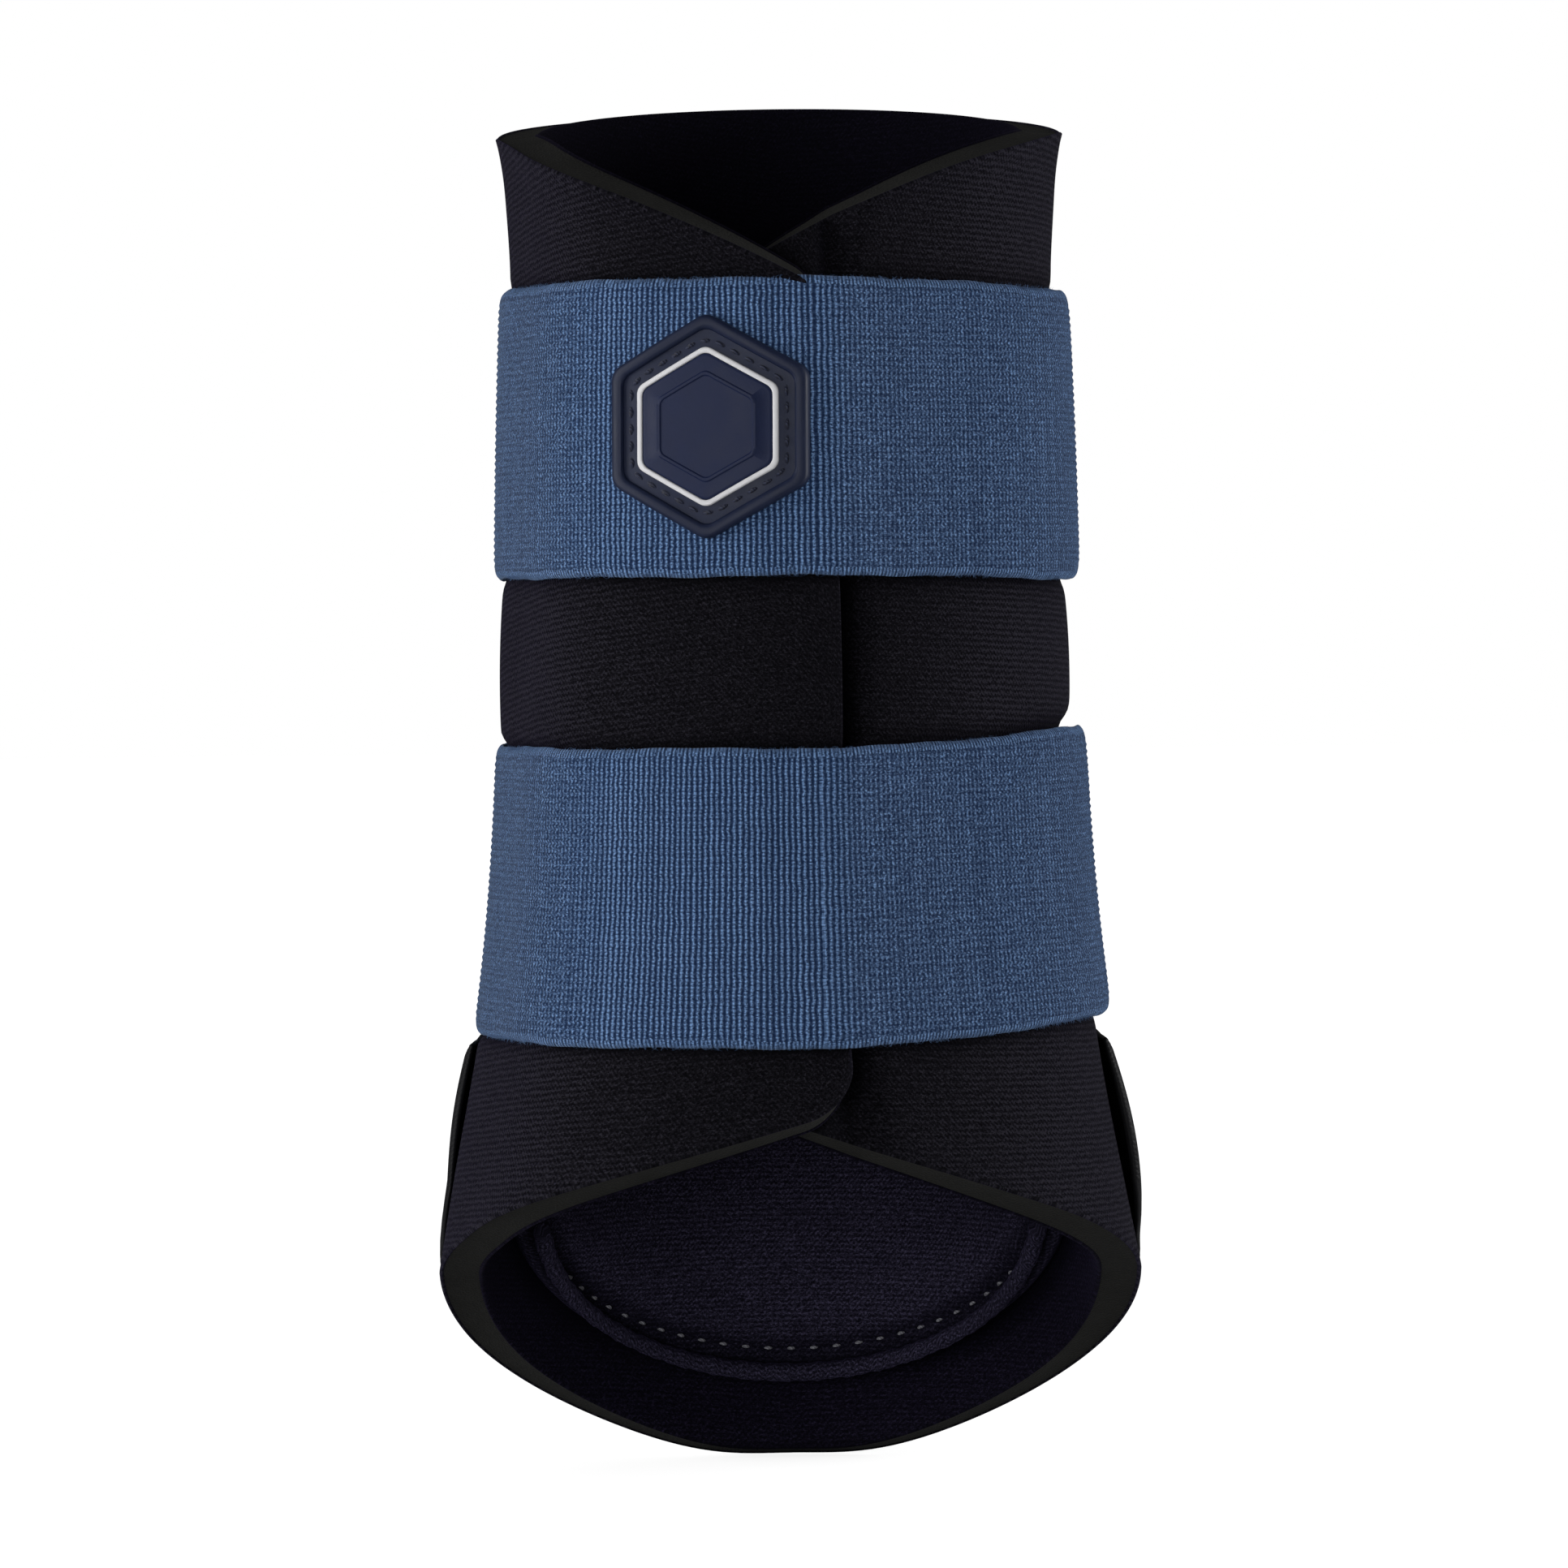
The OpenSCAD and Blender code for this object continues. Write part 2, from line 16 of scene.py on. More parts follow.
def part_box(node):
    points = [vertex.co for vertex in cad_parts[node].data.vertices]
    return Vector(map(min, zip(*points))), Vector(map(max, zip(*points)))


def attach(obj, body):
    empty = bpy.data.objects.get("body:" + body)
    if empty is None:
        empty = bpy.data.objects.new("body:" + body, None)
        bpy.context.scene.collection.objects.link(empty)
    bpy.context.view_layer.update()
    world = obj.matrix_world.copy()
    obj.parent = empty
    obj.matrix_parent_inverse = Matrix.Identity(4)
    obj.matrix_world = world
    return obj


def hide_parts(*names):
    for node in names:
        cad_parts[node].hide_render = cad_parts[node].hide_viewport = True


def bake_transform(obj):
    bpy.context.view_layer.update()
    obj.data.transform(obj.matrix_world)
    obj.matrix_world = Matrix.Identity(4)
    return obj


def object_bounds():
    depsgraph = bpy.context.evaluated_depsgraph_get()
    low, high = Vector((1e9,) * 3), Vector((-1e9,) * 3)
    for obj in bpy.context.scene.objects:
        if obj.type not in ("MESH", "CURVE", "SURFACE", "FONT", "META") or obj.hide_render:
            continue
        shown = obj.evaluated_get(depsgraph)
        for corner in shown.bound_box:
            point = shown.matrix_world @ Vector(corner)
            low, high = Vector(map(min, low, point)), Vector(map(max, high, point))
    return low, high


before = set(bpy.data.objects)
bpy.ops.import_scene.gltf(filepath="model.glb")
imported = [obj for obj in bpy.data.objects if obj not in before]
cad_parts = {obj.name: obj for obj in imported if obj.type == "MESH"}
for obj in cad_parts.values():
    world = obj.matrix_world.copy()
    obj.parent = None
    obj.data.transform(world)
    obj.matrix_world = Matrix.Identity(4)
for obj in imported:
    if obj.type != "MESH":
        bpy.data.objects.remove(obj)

cad_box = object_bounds()

# %% [markdown]
# ## The driving sizes
# The construction is drawn in millimetres from a short list of sizes. The same sizes stand here, each
# group where it is first needed, so that every visible piece follows the solid it stands for. Reading
# them off the solids would work too, but a list can be read and changed. Angles run round the leg in
# degrees, from the front, positive towards +X. A factor, MM, makes Blender's metres of millimetres.

# %% Sizes of the wrap
MM = 0.001
WAIST_R, TAPER, TAPER_Z = 43.1, 0.03, 84  # radius at TAPER_Z, and its growth for each mm down
CUP_FLARE, FLARE_Z, FLARE_LEN = 9.5, 15, 115  # the bell over the joint: width, start and length
CUP_CURL, CURL_Z, CURL_LEN = 4, -85, 28  # the hem curls in again
TOP_FLARE, TOP_BACK_Z, TOP_SIDE_Z, TOP_TIP_Z = 2.1, 112, 105.5, 79
NECK_BEND = 0.92
HEM_FRONT_Z, HEM_SIDE_Z, HEM_BACK_Z = -51.5, -77, -112
HEM_BEND, HEM_FULL = 1.12, 0.8
FACING_T, FOAM_T, LINING_T = 0.7, 5.6, 0.7
WRAP_T = FACING_T + FOAM_T + LINING_T
LEFT_REACH, RIGHT_REACH = 10, 20  # how far each half passes the front, in degrees
CORNER_R = 6
SINK, GAP = 3, 0.3
LIFT = WRAP_T - SINK + GAP  # the over half stands this far proud where it lies on the under half
print("laminate:", WRAP_T, "mm thick, the over half lifts by", round(LIFT, 2), "mm at the lap")

# %% [markdown]
# ## The shape of the leg's sleeve
# The boot is cut from flat laminate and pulled round the leg. Spinning a drawn profile would give such
# a sleeve, but not its slanting neck and scooped hem, so all three are formulas. One function gives the
# outer radius at a height: it narrows a little up the leg, opens in a bell round the fetlock joint and
# curls in at the hem. Two more give the heights of the top edge and the hem at an angle from the front.
# They take whole arrays at once, which keeps fine meshes quick.

# %% The sleeve in formulas
def ease(x):
    """A soft step from 0 to 1."""
    u = np.clip(x, 0, 1)
    return u * u * (3 - 2 * u)


def sin_deg(a):
    return np.sin(np.radians(a))


def wrap_radius(z):
    """The wrap's outer radius at height z, in mm."""
    bell = np.clip((FLARE_Z - z) / FLARE_LEN, 0, 1.2)
    curl = np.maximum(0, (CURL_Z - z) / CURL_LEN)
    rim = np.maximum(0, (z - TAPER_Z) / (TOP_SIDE_Z - TAPER_Z))
    return (WAIST_R + TAPER * (TAPER_Z - z) + CUP_FLARE * sin_deg(90 * bell) ** 3
            - CUP_CURL * curl ** 2 + TOP_FLARE * rim ** 1.5)


def top_edge(a, reach):
    """Height of the top edge at a degrees from the front, for a half that reaches past the front."""
    behind = TOP_SIDE_Z + (TOP_BACK_Z - TOP_SIDE_Z) * sin_deg(np.clip(a - 90, 0, 90))
    rise = sin_deg(90 * np.clip((a + reach) / (90 + reach), 0, 1)) ** NECK_BEND
    neck = TOP_TIP_Z + (TOP_SIDE_Z - TOP_TIP_Z) * rise
    return np.where(a > 90, behind, neck)


def hem(a):
    """Height of the hem at a degrees from the front."""
    u = np.clip((a - 90) / 90, 0, 1)
    behind = HEM_SIDE_Z + (HEM_BACK_Z - HEM_SIDE_Z) * sin_deg(90 * u ** HEM_BEND)
    behind = behind - HEM_FULL * sin_deg(180 * u ** 3) ** 2
    return np.where(a > 90, behind, HEM_FRONT_Z + (HEM_SIDE_Z - HEM_FRONT_Z) * a / 90)


def corner_cut(d, r):
    """How much a corner of radius r takes off an edge, d mm from its end."""
    inside = np.clip(r - d, 0, r)
    return r - np.sqrt(r * r - inside * inside)


def at(t, z, off):
    """Points in metres at t degrees round the leg, z mm up and off mm outside the wrap's face."""
    r = wrap_radius(z) + off
    return np.stack([r * sin_deg(t), -r * np.cos(np.radians(t)), z + 0 * r], axis=-1) * MM


low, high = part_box("back_jersey")
print("hem at the back:", float(hem(np.array(180.0))), "mm, solid:", round(low.z / MM, 1), "mm")

# %% [markdown]
# ## Turning a grid into cloth
# Every soft piece here is a sheet with a thickness: a grid of points on its outer face, the same grid
# on its inner face, and a rounded rim that joins the two round the edge. Solidify would make such a
# shell from one face, but it gives no say over the rim, and the cut edges of neoprene are what one
# sees. So small functions lay the three strips, one job each. They also store how far each point lies
# round and up the cloth, in millimetres, so that a knit or a weave follows the piece when it bends.

# %% The edge of a grid
def walk_round(n, m, open_start):
    """Column and row of each point on a grid's edge, in order. An open start has no first column."""
    edge = [(i, 0) for i in range(n)] + [(n - 1, j) for j in range(1, m)]
    edge += [(i, m - 1) for i in range(n - 2, -1, -1)]
    edge += [] if open_start else [(0, j) for j in range(m - 2, 0, -1)]
    return np.array(edge).T


def rounded_rim(out_edge, in_edge, round_by, steps, way, open_start):
    """Rows of points from the outer edge to the inner one, bulging outwards by round_by mm."""
    along = np.roll(out_edge, -1, 0) - np.roll(out_edge, 1, 0)
    if open_start:
        along[0], along[-1] = out_edge[1] - out_edge[0], out_edge[-1] - out_edge[-2]
    away = np.cross(along, out_edge - in_edge)
    away *= way / np.linalg.norm(away, axis=1, keepdims=True)
    return [out_edge + (in_edge - out_edge) * k / steps
            + away * round_by * MM * math.sin(math.pi * k / steps) for k in range(1, steps)]


# %% The faces and the pattern's coordinates
def sheet_faces(n, m, ii, jj, steps, way, open_start):
    """The quads of both skins and of the rim between them, all facing outwards."""
    grid = np.arange(n * m).reshape(n, m)
    quads = np.stack([grid[:-1, :-1], grid[1:, :-1], grid[1:, 1:], grid[:-1, 1:]], -1).reshape(-1, 4)
    rings = [grid[ii, jj]]
    rings += [2 * n * m + k * len(ii) + np.arange(len(ii)) for k in range(steps - 1)]
    rings += [grid[ii, jj] + n * m]
    follow = np.arange(1, len(ii)) if open_start else np.roll(np.arange(len(ii)), -1)
    first = np.arange(len(follow))
    strips = [np.stack([b[first], b[follow], a[follow], a[first]], -1) for a, b in zip(rings, rings[1:])]
    faces = np.concatenate([quads, quads[:, ::-1] + n * m] + strips)[:, ::way].tolist()
    if open_start:
        wall = np.concatenate([[r[0] for r in rings], grid[0, 1:] + n * m,
                               [r[-1] for r in rings[::-1][1:]], grid[0, -2:0:-1]])
        faces.append(wall[::way].tolist())
    return faces


def cloth_marks(t, heights, outer, ii, jj, steps, turned, rim_width):
    """For each point: mm round the leg, mm up the cloth, and mm from the nearer long edge."""
    n, m = heights.shape
    around = np.radians(t) * np.mean(wrap_radius(heights) + outer)
    from_edge = np.minimum(heights - heights[:, :1], heights[:, -1:] - heights)
    flat = np.stack([around, heights + turned * np.abs(around), from_edge], -1)
    outwards = np.stack([1.0 * (ii == n - 1) - 1.0 * (ii == 0),
                         1.0 * (jj == m - 1) - 1.0 * (jj == 0), 0 * ii], -1)
    rims = [flat[ii, jj] + outwards * rim_width * (1 - k / steps) for k in range(1, steps)]
    return np.concatenate([flat.reshape(-1, 3)] * 2 + rims)


# %% A sheet with two faces and a rim
def sheet_solid(name, angles, heights, outer, inner, rim=(0.3, 4), open_start=False, turned=0.0,
                inner_heights=None, rim_width=0.0):
    """A closed sheet. angles: n. heights, outer, inner: n by m.
    rim: its roundness in mm and its steps. turned: the slant of the cloth's rows.
    rim_width: mm by which the cloth's pattern runs on over the rim, from the inner face."""
    n, m = heights.shape
    way = 1 if angles[-1] > angles[0] else -1
    t = np.broadcast_to(angles[:, None], (n, m))
    skins = [at(t, heights, outer), at(t, heights if inner_heights is None else inner_heights, inner)]
    ii, jj = walk_round(n, m, open_start)
    round_by, steps = rim
    mids = rounded_rim(skins[0][ii, jj], skins[1][ii, jj], round_by, steps, way, open_start)
    points = np.concatenate([skin.reshape(-1, 3) for skin in skins] + mids)
    faces = sheet_faces(n, m, ii, jj, steps, way, open_start)
    return mesh_piece(name, points, faces, cloth_marks(t, heights, outer, ii, jj, steps, turned, rim_width))


def tube_faces(base):
    """Walls and both end caps of many closed tubes at once. base: tube by step by corner."""
    nxt = np.roll(base, -1, axis=2)
    walls = np.stack([base[:, :-1], nxt[:, :-1], nxt[:, 1:], base[:, 1:]], -1).reshape(-1, 4)
    return walls.tolist() + base[:, 0, ::-1].tolist() + base[:, -1].tolist()


def mesh_piece(name, points, faces, cloth=None, sharp=50):
    """An object from points and faces. Edges bent by more than sharp degrees stay crisp."""
    mesh = bpy.data.meshes.new(name)
    mesh.from_pydata(points.tolist(), [], [list(map(int, f)) for f in faces])
    if cloth is not None:
        place = mesh.attributes.new("cloth", "FLOAT_VECTOR", "POINT")
        place.data.foreach_set("vector", cloth.astype(np.float32).ravel())
    mesh.update()
    mesh.shade_smooth()
    mesh.set_sharp_from_angle(angle=math.radians(sharp))
    piece = bpy.data.objects.new(name, mesh)
    bpy.context.scene.collection.objects.link(piece)
    return piece


# %% [markdown]
# ## Node helpers
# Every finish here is a network of small nodes. An image would need a flat unwrapped layout and would
# blur close up, while nodes stay sharp at any distance. These helpers keep the recipes short: one makes
# a surface with its fixed numbers set on the shader itself, some do arithmetic or mix, and one paints
# shade into folds and gaps. Patterns on cloth read the stored cloth coordinates.

# %% Small helpers for nodes
def surface(name, rough, specular=0.3, sheen=0.0, sheen_tint=(1, 1, 1)):
    """A material with its constant shader numbers, its node tree and its shader."""
    made = bpy.data.materials.new(name)
    made.use_nodes = True
    shader = made.node_tree.nodes["Principled BSDF"]
    shader.inputs["Roughness"].default_value = rough
    shader.inputs["Specular IOR Level"].default_value = specular
    shader.inputs["Sheen Weight"].default_value = sheen
    shader.inputs["Sheen Roughness"].default_value = 0.45
    shader.inputs["Sheen Tint"].default_value = (*sheen_tint, 1)
    return made, made.node_tree, shader


def joined(tree, value, socket):
    """Links a node's output to the socket, or sets the socket to a plain number."""
    if hasattr(value, "is_output"):
        tree.links.new(value, socket)
    else:
        socket.default_value = value


def calc(tree, kind, a, b=0.0, c=0.0):
    """One Math node. a, b and c are numbers or other nodes' outputs."""
    node = tree.nodes.new("ShaderNodeMath")
    node.operation = kind
    for value, socket in zip((a, b, c), node.inputs):
        joined(tree, value, socket)
    return node.outputs[0]


def blend_colour(tree, by, low_colour, high_colour):
    """From the low colour at 0 to the high colour at 1."""
    node = tree.nodes.new("ShaderNodeMix")
    node.data_type = "RGBA"
    joined(tree, by, node.inputs["Factor"])
    for value, socket in ((low_colour, node.inputs["A"]), (high_colour, node.inputs["B"])):
        joined(tree, value if hasattr(value, "is_output") else (*value, 1), socket)
    return node.outputs["Result"]


def mixed(tree, by, low_value, high_value):
    """The same for plain numbers."""
    node = tree.nodes.new("ShaderNodeMix")
    for value, socket in ((by, node.inputs["Factor"]), (low_value, node.inputs["A"]),
                          (high_value, node.inputs["B"])):
        joined(tree, value, socket)
    return node.outputs["Result"]


def speckle(tree, place, scale, detail=2.0):
    """Cloudy noise round 0.5. scale is the number of clouds in each unit of place."""
    node = tree.nodes.new("ShaderNodeTexNoise")
    node.inputs["Scale"].default_value = scale
    node.inputs["Detail"].default_value = detail
    tree.links.new(place, node.inputs["Vector"])
    return node.outputs["Fac"]


def cloth_place(tree):
    """The stored cloth coordinates: all three, then mm round, mm up and mm from the edge."""
    node = tree.nodes.new("ShaderNodeAttribute")
    node.attribute_name = "cloth"
    parts = tree.nodes.new("ShaderNodeSeparateXYZ")
    tree.links.new(node.outputs["Vector"], parts.inputs[0])
    return node.outputs["Vector"], parts.outputs[0], parts.outputs[1], parts.outputs[2]


def wave(tree, value, pitch, shift=0.0):
    """0 to 1 and back once in each pitch of value."""
    turn = calc(tree, "MULTIPLY_ADD", value, 2 * math.pi / pitch, shift)
    return calc(tree, "MULTIPLY_ADD", calc(tree, "SINE", turn), 0.5, 0.5)


def painted_crevice_shade(tree, reach_mm):
    """Painted shade: 1 in the open, towards 0 in folds, seams and gaps narrower than the reach."""
    node = tree.nodes.new("ShaderNodeAmbientOcclusion")
    node.samples = 8
    node.inputs["Distance"].default_value = reach_mm * MM
    return node.outputs["AO"]


def between(tree, value, low, high, at_low, at_high, kind="LINEAR"):
    """Slides from at_low to at_high while the value goes from low to high."""
    node = tree.nodes.new("ShaderNodeMapRange")
    node.interpolation_type = kind
    for number, socket in zip((value, low, high, at_low, at_high), node.inputs):
        joined(tree, number, socket)
    return node.outputs[0]


def object_place(tree):
    """Plain coordinates in metres, for rigid pieces."""
    return tree.nodes.new("ShaderNodeTexCoord").outputs["Object"]


def raised(tree, shader, height, depth_mm):
    """Lifts the surface's shading by up to depth_mm where height is 1."""
    node = tree.nodes.new("ShaderNodeBump")
    node.inputs["Distance"].default_value = depth_mm * MM
    node.inputs["Strength"].default_value = 1.0
    tree.links.new(height, node.inputs["Height"])
    tree.links.new(node.outputs[0], shader.inputs["Normal"])


# %% [markdown]
# ## Knitted cloth
# The facing and the lining are fine knits: level rows of small stitches, each stitch a V. Thousands of
# modelled threads would be slow and would only shimmer, so nodes draw them. A wave across the rows,
# shifted up and down by a zigzag along them, gives the stitches, and it grows stronger towards the
# sides, where the cloth is seen aslant. Grain and fibre noise break it into small bright specks, since
# thread crests catch more light than the hollows. Painted shade darkens the cloth in folds, and high up
# deep inside the boot.

# %% Knit for the facing and the lining
def knit(name, dark, light, row, column, depth, sheen, most_rows, deep=1.0):
    """row, column: the size of a stitch in mm. depth: of the relief, in mm.
    most_rows: how strongly the rows show at the sides.
    deep: how bright the knit stays high up inside, under its painted shade."""
    made, tree, shader = surface(name, 0.88, 0.05, sheen, (0.48, 0.39, 1.0))
    place, along, up, _ = cloth_place(tree)
    drift = calc(tree, "MULTIPLY_ADD", speckle(tree, place, 0.6, 3), 0.9, up)
    zigzag = calc(tree, "PINGPONG", along, column / 2)
    rows = wave(tree, calc(tree, "MULTIPLY_ADD", zigzag, 0.5 * row / column, drift), row)
    legs = wave(tree, calc(tree, "MULTIPLY_ADD", up, 0.8, along), column)
    grain = speckle(tree, place, 1.9, 5)
    fibre = speckle(tree, place, 4.2, 3)
    sides = calc(tree, "MULTIPLY", calc(tree, "ABSOLUTE", along), 0.014)
    row_share = calc(tree, "MINIMUM", calc(tree, "MULTIPLY_ADD", sides, sides, 0.1), most_rows)
    height = calc(tree, "MULTIPLY_ADD", legs, 0.1, calc(tree, "MULTIPLY", rows, row_share))
    height = calc(tree, "MULTIPLY_ADD", grain, 1.05, height)
    crest = calc(tree, "POWER", height, 3.4)
    crest = calc(tree, "MULTIPLY", crest, calc(tree, "MULTIPLY_ADD", fibre, 6.5, -2.2))
    crest = calc(tree, "MAXIMUM", crest, 0.0)
    patchy = speckle(tree, place, 0.05, 2)
    shade = calc(tree, "MULTIPLY", crest, calc(tree, "MULTIPLY_ADD", patchy, 0.7, 0.65))
    # Painted shade: darker towards the top, down to deep at 50 mm up, for the dark high inside the boot.
    shade = calc(tree, "MULTIPLY", shade, between(tree, up, -30.0, 50.0, 1.0, deep))
    # Painted shade: the colour darkens in folds, seams and narrow gaps.
    shade = calc(tree, "MULTIPLY", shade, calc(tree, "POWER", painted_crevice_shade(tree, 5), 2.5))
    tree.links.new(blend_colour(tree, shade, dark, light), shader.inputs["Base Color"])
    raised(tree, shader, calc(tree, "MULTIPLY_ADD", fibre, 0.3, height), depth)
    return made


# %% Three knits
facing_knit = knit("knitted_facing", (0.0005, 0.0005, 0.0009), (0.0232, 0.0218, 0.0295), 0.95, 0.75,
                   0.25, 0.035, 0.42)
# Painted light and shade: the pad's cover and the wrap's lining are one kind of knit. The cover is painted
# lighter and the lining darker, for how light falls into the cup.
lining_knit = knit("knitted_lining", (0.0008, 0.0006, 0.0022), (0.016, 0.013, 0.030), 0.9, 0.8,
                   0.15, 0.02, 0.16, deep=0.3)
pad_knit = knit("knitted_pad_cover", (0.0012, 0.0010, 0.0032), (0.058, 0.052, 0.096), 0.9, 0.8,
                0.2, 0.03, 0.2, deep=0.1)
print("knits:", facing_knit.name, lining_knit.name, pad_knit.name)

# %% [markdown]
# ## Cut foam
# Where the laminate is cut, the foam core shows as a dull olive-black band full of tiny closed cells.
# The cells are a few tenths of a millimetre wide, too small to model, so Voronoi cells make them as
# relief and as tone. A slow noise makes the band a little uneven, as a die leaves it.

# %% Cut foam
def cut_foam():
    made, tree, shader = surface("cut_foam", 0.9, 0.2)
    place = object_place(tree)
    cells = tree.nodes.new("ShaderNodeTexVoronoi")
    cells.inputs["Scale"].default_value = 2600
    tree.links.new(place, cells.inputs["Vector"])
    pores = cells.outputs["Distance"]
    uneven = speckle(tree, place, 160, 3)
    tone = calc(tree, "MULTIPLY_ADD", pores, 0.5, calc(tree, "MULTIPLY", uneven, 0.75))
    tree.links.new(blend_colour(tree, tone, (0.0055, 0.0055, 0.0050), (0.0175, 0.0175, 0.0160)),
                   shader.inputs["Base Color"])
    raised(tree, shader, calc(tree, "MULTIPLY_ADD", uneven, 1.5, pores), 0.12)
    return made


foam = cut_foam()
print("foam:", len(foam.node_tree.nodes), "nodes")

# %% [markdown]
# ## The wrap's relief
# Pulled tight by two straps, thick neoprene doesn't stay a plain sleeve. It swells between the straps,
# is pinched along their edges, and its cut edges turn outwards like lips. A simulation could find such
# shapes, but three plies and two straps would all have to be solved together without touching. Each of
# them is instead a gentle push along the radius, in millimetres, shared by all that lies there.

# %% Sizes of the straps
STRAP_W, STRAP_T, STRAP_CORNER_R = 45, 1.4, 4
STRAP_END, ANCHOR_END, SPLIT = 88, 126, 6  # degrees: its end, its sewn end, and where the free end starts
UPPER_Z, UPPER_RISE = 57.7, -1  # the middle's height, and its rise towards the free end
LOWER_Z, LOWER_RISE = -14.6, 2.5
print("straps:", STRAP_W, "mm wide, middles at", UPPER_Z, "and", LOWER_Z, "mm")


# %% The lap and the straps' grip
def left_step(a):
    """The over half climbs onto the under half towards the front."""
    return LIFT * ease((70 - a) / 36)


def right_step(a):
    """The under half sinks to make room."""
    return -SINK * ease((80 - a) / 50)


def strap_middle(z, rise, t):
    """Height of a strap's middle line at t degrees."""
    return z + rise * ease((t - LEFT_REACH) / (STRAP_END - LEFT_REACH))


def hug(t):
    """How deep the lower strap presses into the left side."""
    return 0.8 * ease((-t - 45) / 30) * ease((t + 135) / 25)


def pinch(t, z):
    """Sinks the cloth along the straps' edges, most on the right under the lower strap."""
    total = -hug(t) * ease((STRAP_W / 2 + 2.5 - np.abs(z - LOWER_Z)) / 3)
    for middle, rise in ((UPPER_Z, UPPER_RISE), (LOWER_Z, LOWER_RISE)):
        gap_from_edge = np.abs(z - strap_middle(middle, rise, t)) - STRAP_W / 2
        total = total - 0.45 * np.exp(-(gap_from_edge / 1.6) ** 2)
    tight = ease((t - 40) / 40) * ease((130 - t) / 40)
    rim = strap_middle(LOWER_Z, LOWER_RISE, t) + STRAP_W / 2
    return total - 1.1 * tight * np.exp(-((z - rim) / 2.2) ** 2)


# %% Swells, the crevice and the lips
def bare(t, z):
    """1 where the cloth lies bare, 0 under a strap."""
    share = 1
    for middle, rise in ((UPPER_Z, UPPER_RISE), (LOWER_Z, LOWER_RISE)):
        share = share * ease((np.abs(z - strap_middle(middle, rise, t)) - STRAP_W / 2 + 2) / 4)
    return share


def swell(t, z):
    """Fuller between the straps and above them, flat behind the guard's tongue."""
    middle = 0.65 * np.clip(1 - ((z - 21.5) / 14) ** 2, 0, 1) * ease((132 - np.abs(t)) / 12)
    above = 0.25 * np.clip(1 - ((z - 92) / 12) ** 2, 0, 1)
    waves = 0.12 * np.sin(z / 9 + t / 23) + 0.10 * np.sin(t / 11 - z / 17)
    return bare(t, z) * (middle + above + waves)


def crevice(t):
    """The under half drops away beside the free edge of the over half."""
    return -2.6 * np.exp(-((t - LEFT_REACH - 2) / 3.6) ** 2)


def lip(from_low, from_high, a):
    """Turns the cut edges outwards, most at the front."""
    front = ease((100 - a) / 50)
    low_part = 1.5 * front * np.clip(1 - from_low / 13, 0, 1) ** 2
    high_part = (0.5 + 1.3 * front) * np.clip(1 - from_high / 9, 0, 1) ** 2
    return low_part + high_part


print("fullest between the straps:", round(float(swell(0.0, 21.5)), 2), "mm")

# %% [markdown]
# ## Rows of points
# The rows of a panel's grid follow its two edges. Rows spread evenly from hem to neck would slant under
# the straps and blur their pinch. So rows are kept level in the middle, where the straps cross, and fan
# out to meet the hem below and the neck above. Every panel uses the same three zones.

# %% Heights of the rows
LEVEL_LOW, LEVEL_HIGH = -34, 62


def row_heights(lo, hi, counts):
    """Heights of the rows in every column, from the low edge to the high one."""
    below, middle, above = counts
    low_zone = lo[:, None] + (LEVEL_LOW - lo[:, None]) * np.linspace(0, 1, below, endpoint=False)
    level = np.broadcast_to(np.linspace(LEVEL_LOW, LEVEL_HIGH, middle, endpoint=False), (len(lo), middle))
    high_zone = LEVEL_HIGH + (hi[:, None] - LEVEL_HIGH) * np.linspace(0, 1, above)
    return np.concatenate([low_zone, level, high_zone], axis=1)


def corner_angles(edge, way, radius, steps):
    """Closer and closer steps up to a free edge, so that its corners come out round."""
    k = np.linspace(90, 0, steps)
    return edge - way * np.degrees(radius * (1 - np.cos(np.radians(k))) / (WAIST_R + LIFT))


# %% [markdown]
# ## The laminated wrap
# The wrap is one cut of laminate: knitted facing, foam core, lining. One mesh could hold it all, but a
# blend can follow only two bodies. So the wrap is made as two halves that meet behind the leg, under
# the strike guard. Each half reaches from there round one side to its free edge at the front. The left
# half lies over the right. Every ply is a sheet of its own, so each keeps its own finish at the cut edge.

# %% The two halves
BACK_TO_LEFT, BACK_TO_RIGHT = np.linspace(-180, -2, 100), np.linspace(180, -8, 106)
HALVES = {
    "left": dict(angles=np.concatenate([BACK_TO_LEFT, corner_angles(LEFT_REACH, 1, CORNER_R, 14)]),
                 reach=LEFT_REACH, way=1, tilt=0.12),
    "right": dict(angles=np.concatenate([BACK_TO_RIGHT, corner_angles(-RIGHT_REACH, -1, CORNER_R, 14)]),
                  reach=RIGHT_REACH, way=-1, tilt=0.04),
}
# Each ply: its depth from and to, rows in the three zones, its rim, its finish.
PLIES = {
    "jersey": (0, FACING_T, (46, 104, 32), (0.28, 4), facing_knit),
    "foam": (FACING_T, FACING_T + FOAM_T, (26, 40, 18), (-0.12, 6), foam),
    "lining": (FACING_T + FOAM_T, WRAP_T, (40, 60, 26), (0.28, 4), lining_knit),
}
for side, half in HALVES.items():
    print(side, "half:", len(half["angles"]), "columns")


# %% One ply of one half
def slant(side, a):
    """How much the outer face stops short of the inner one, at the top edge and at the hem."""
    front, back = ease((97 - a) / 45), ease((a - 115) / 50)
    return (0.4 + (1.6 if side == "left" else 1.0) * front), 2.3 * front - 1.5 * back


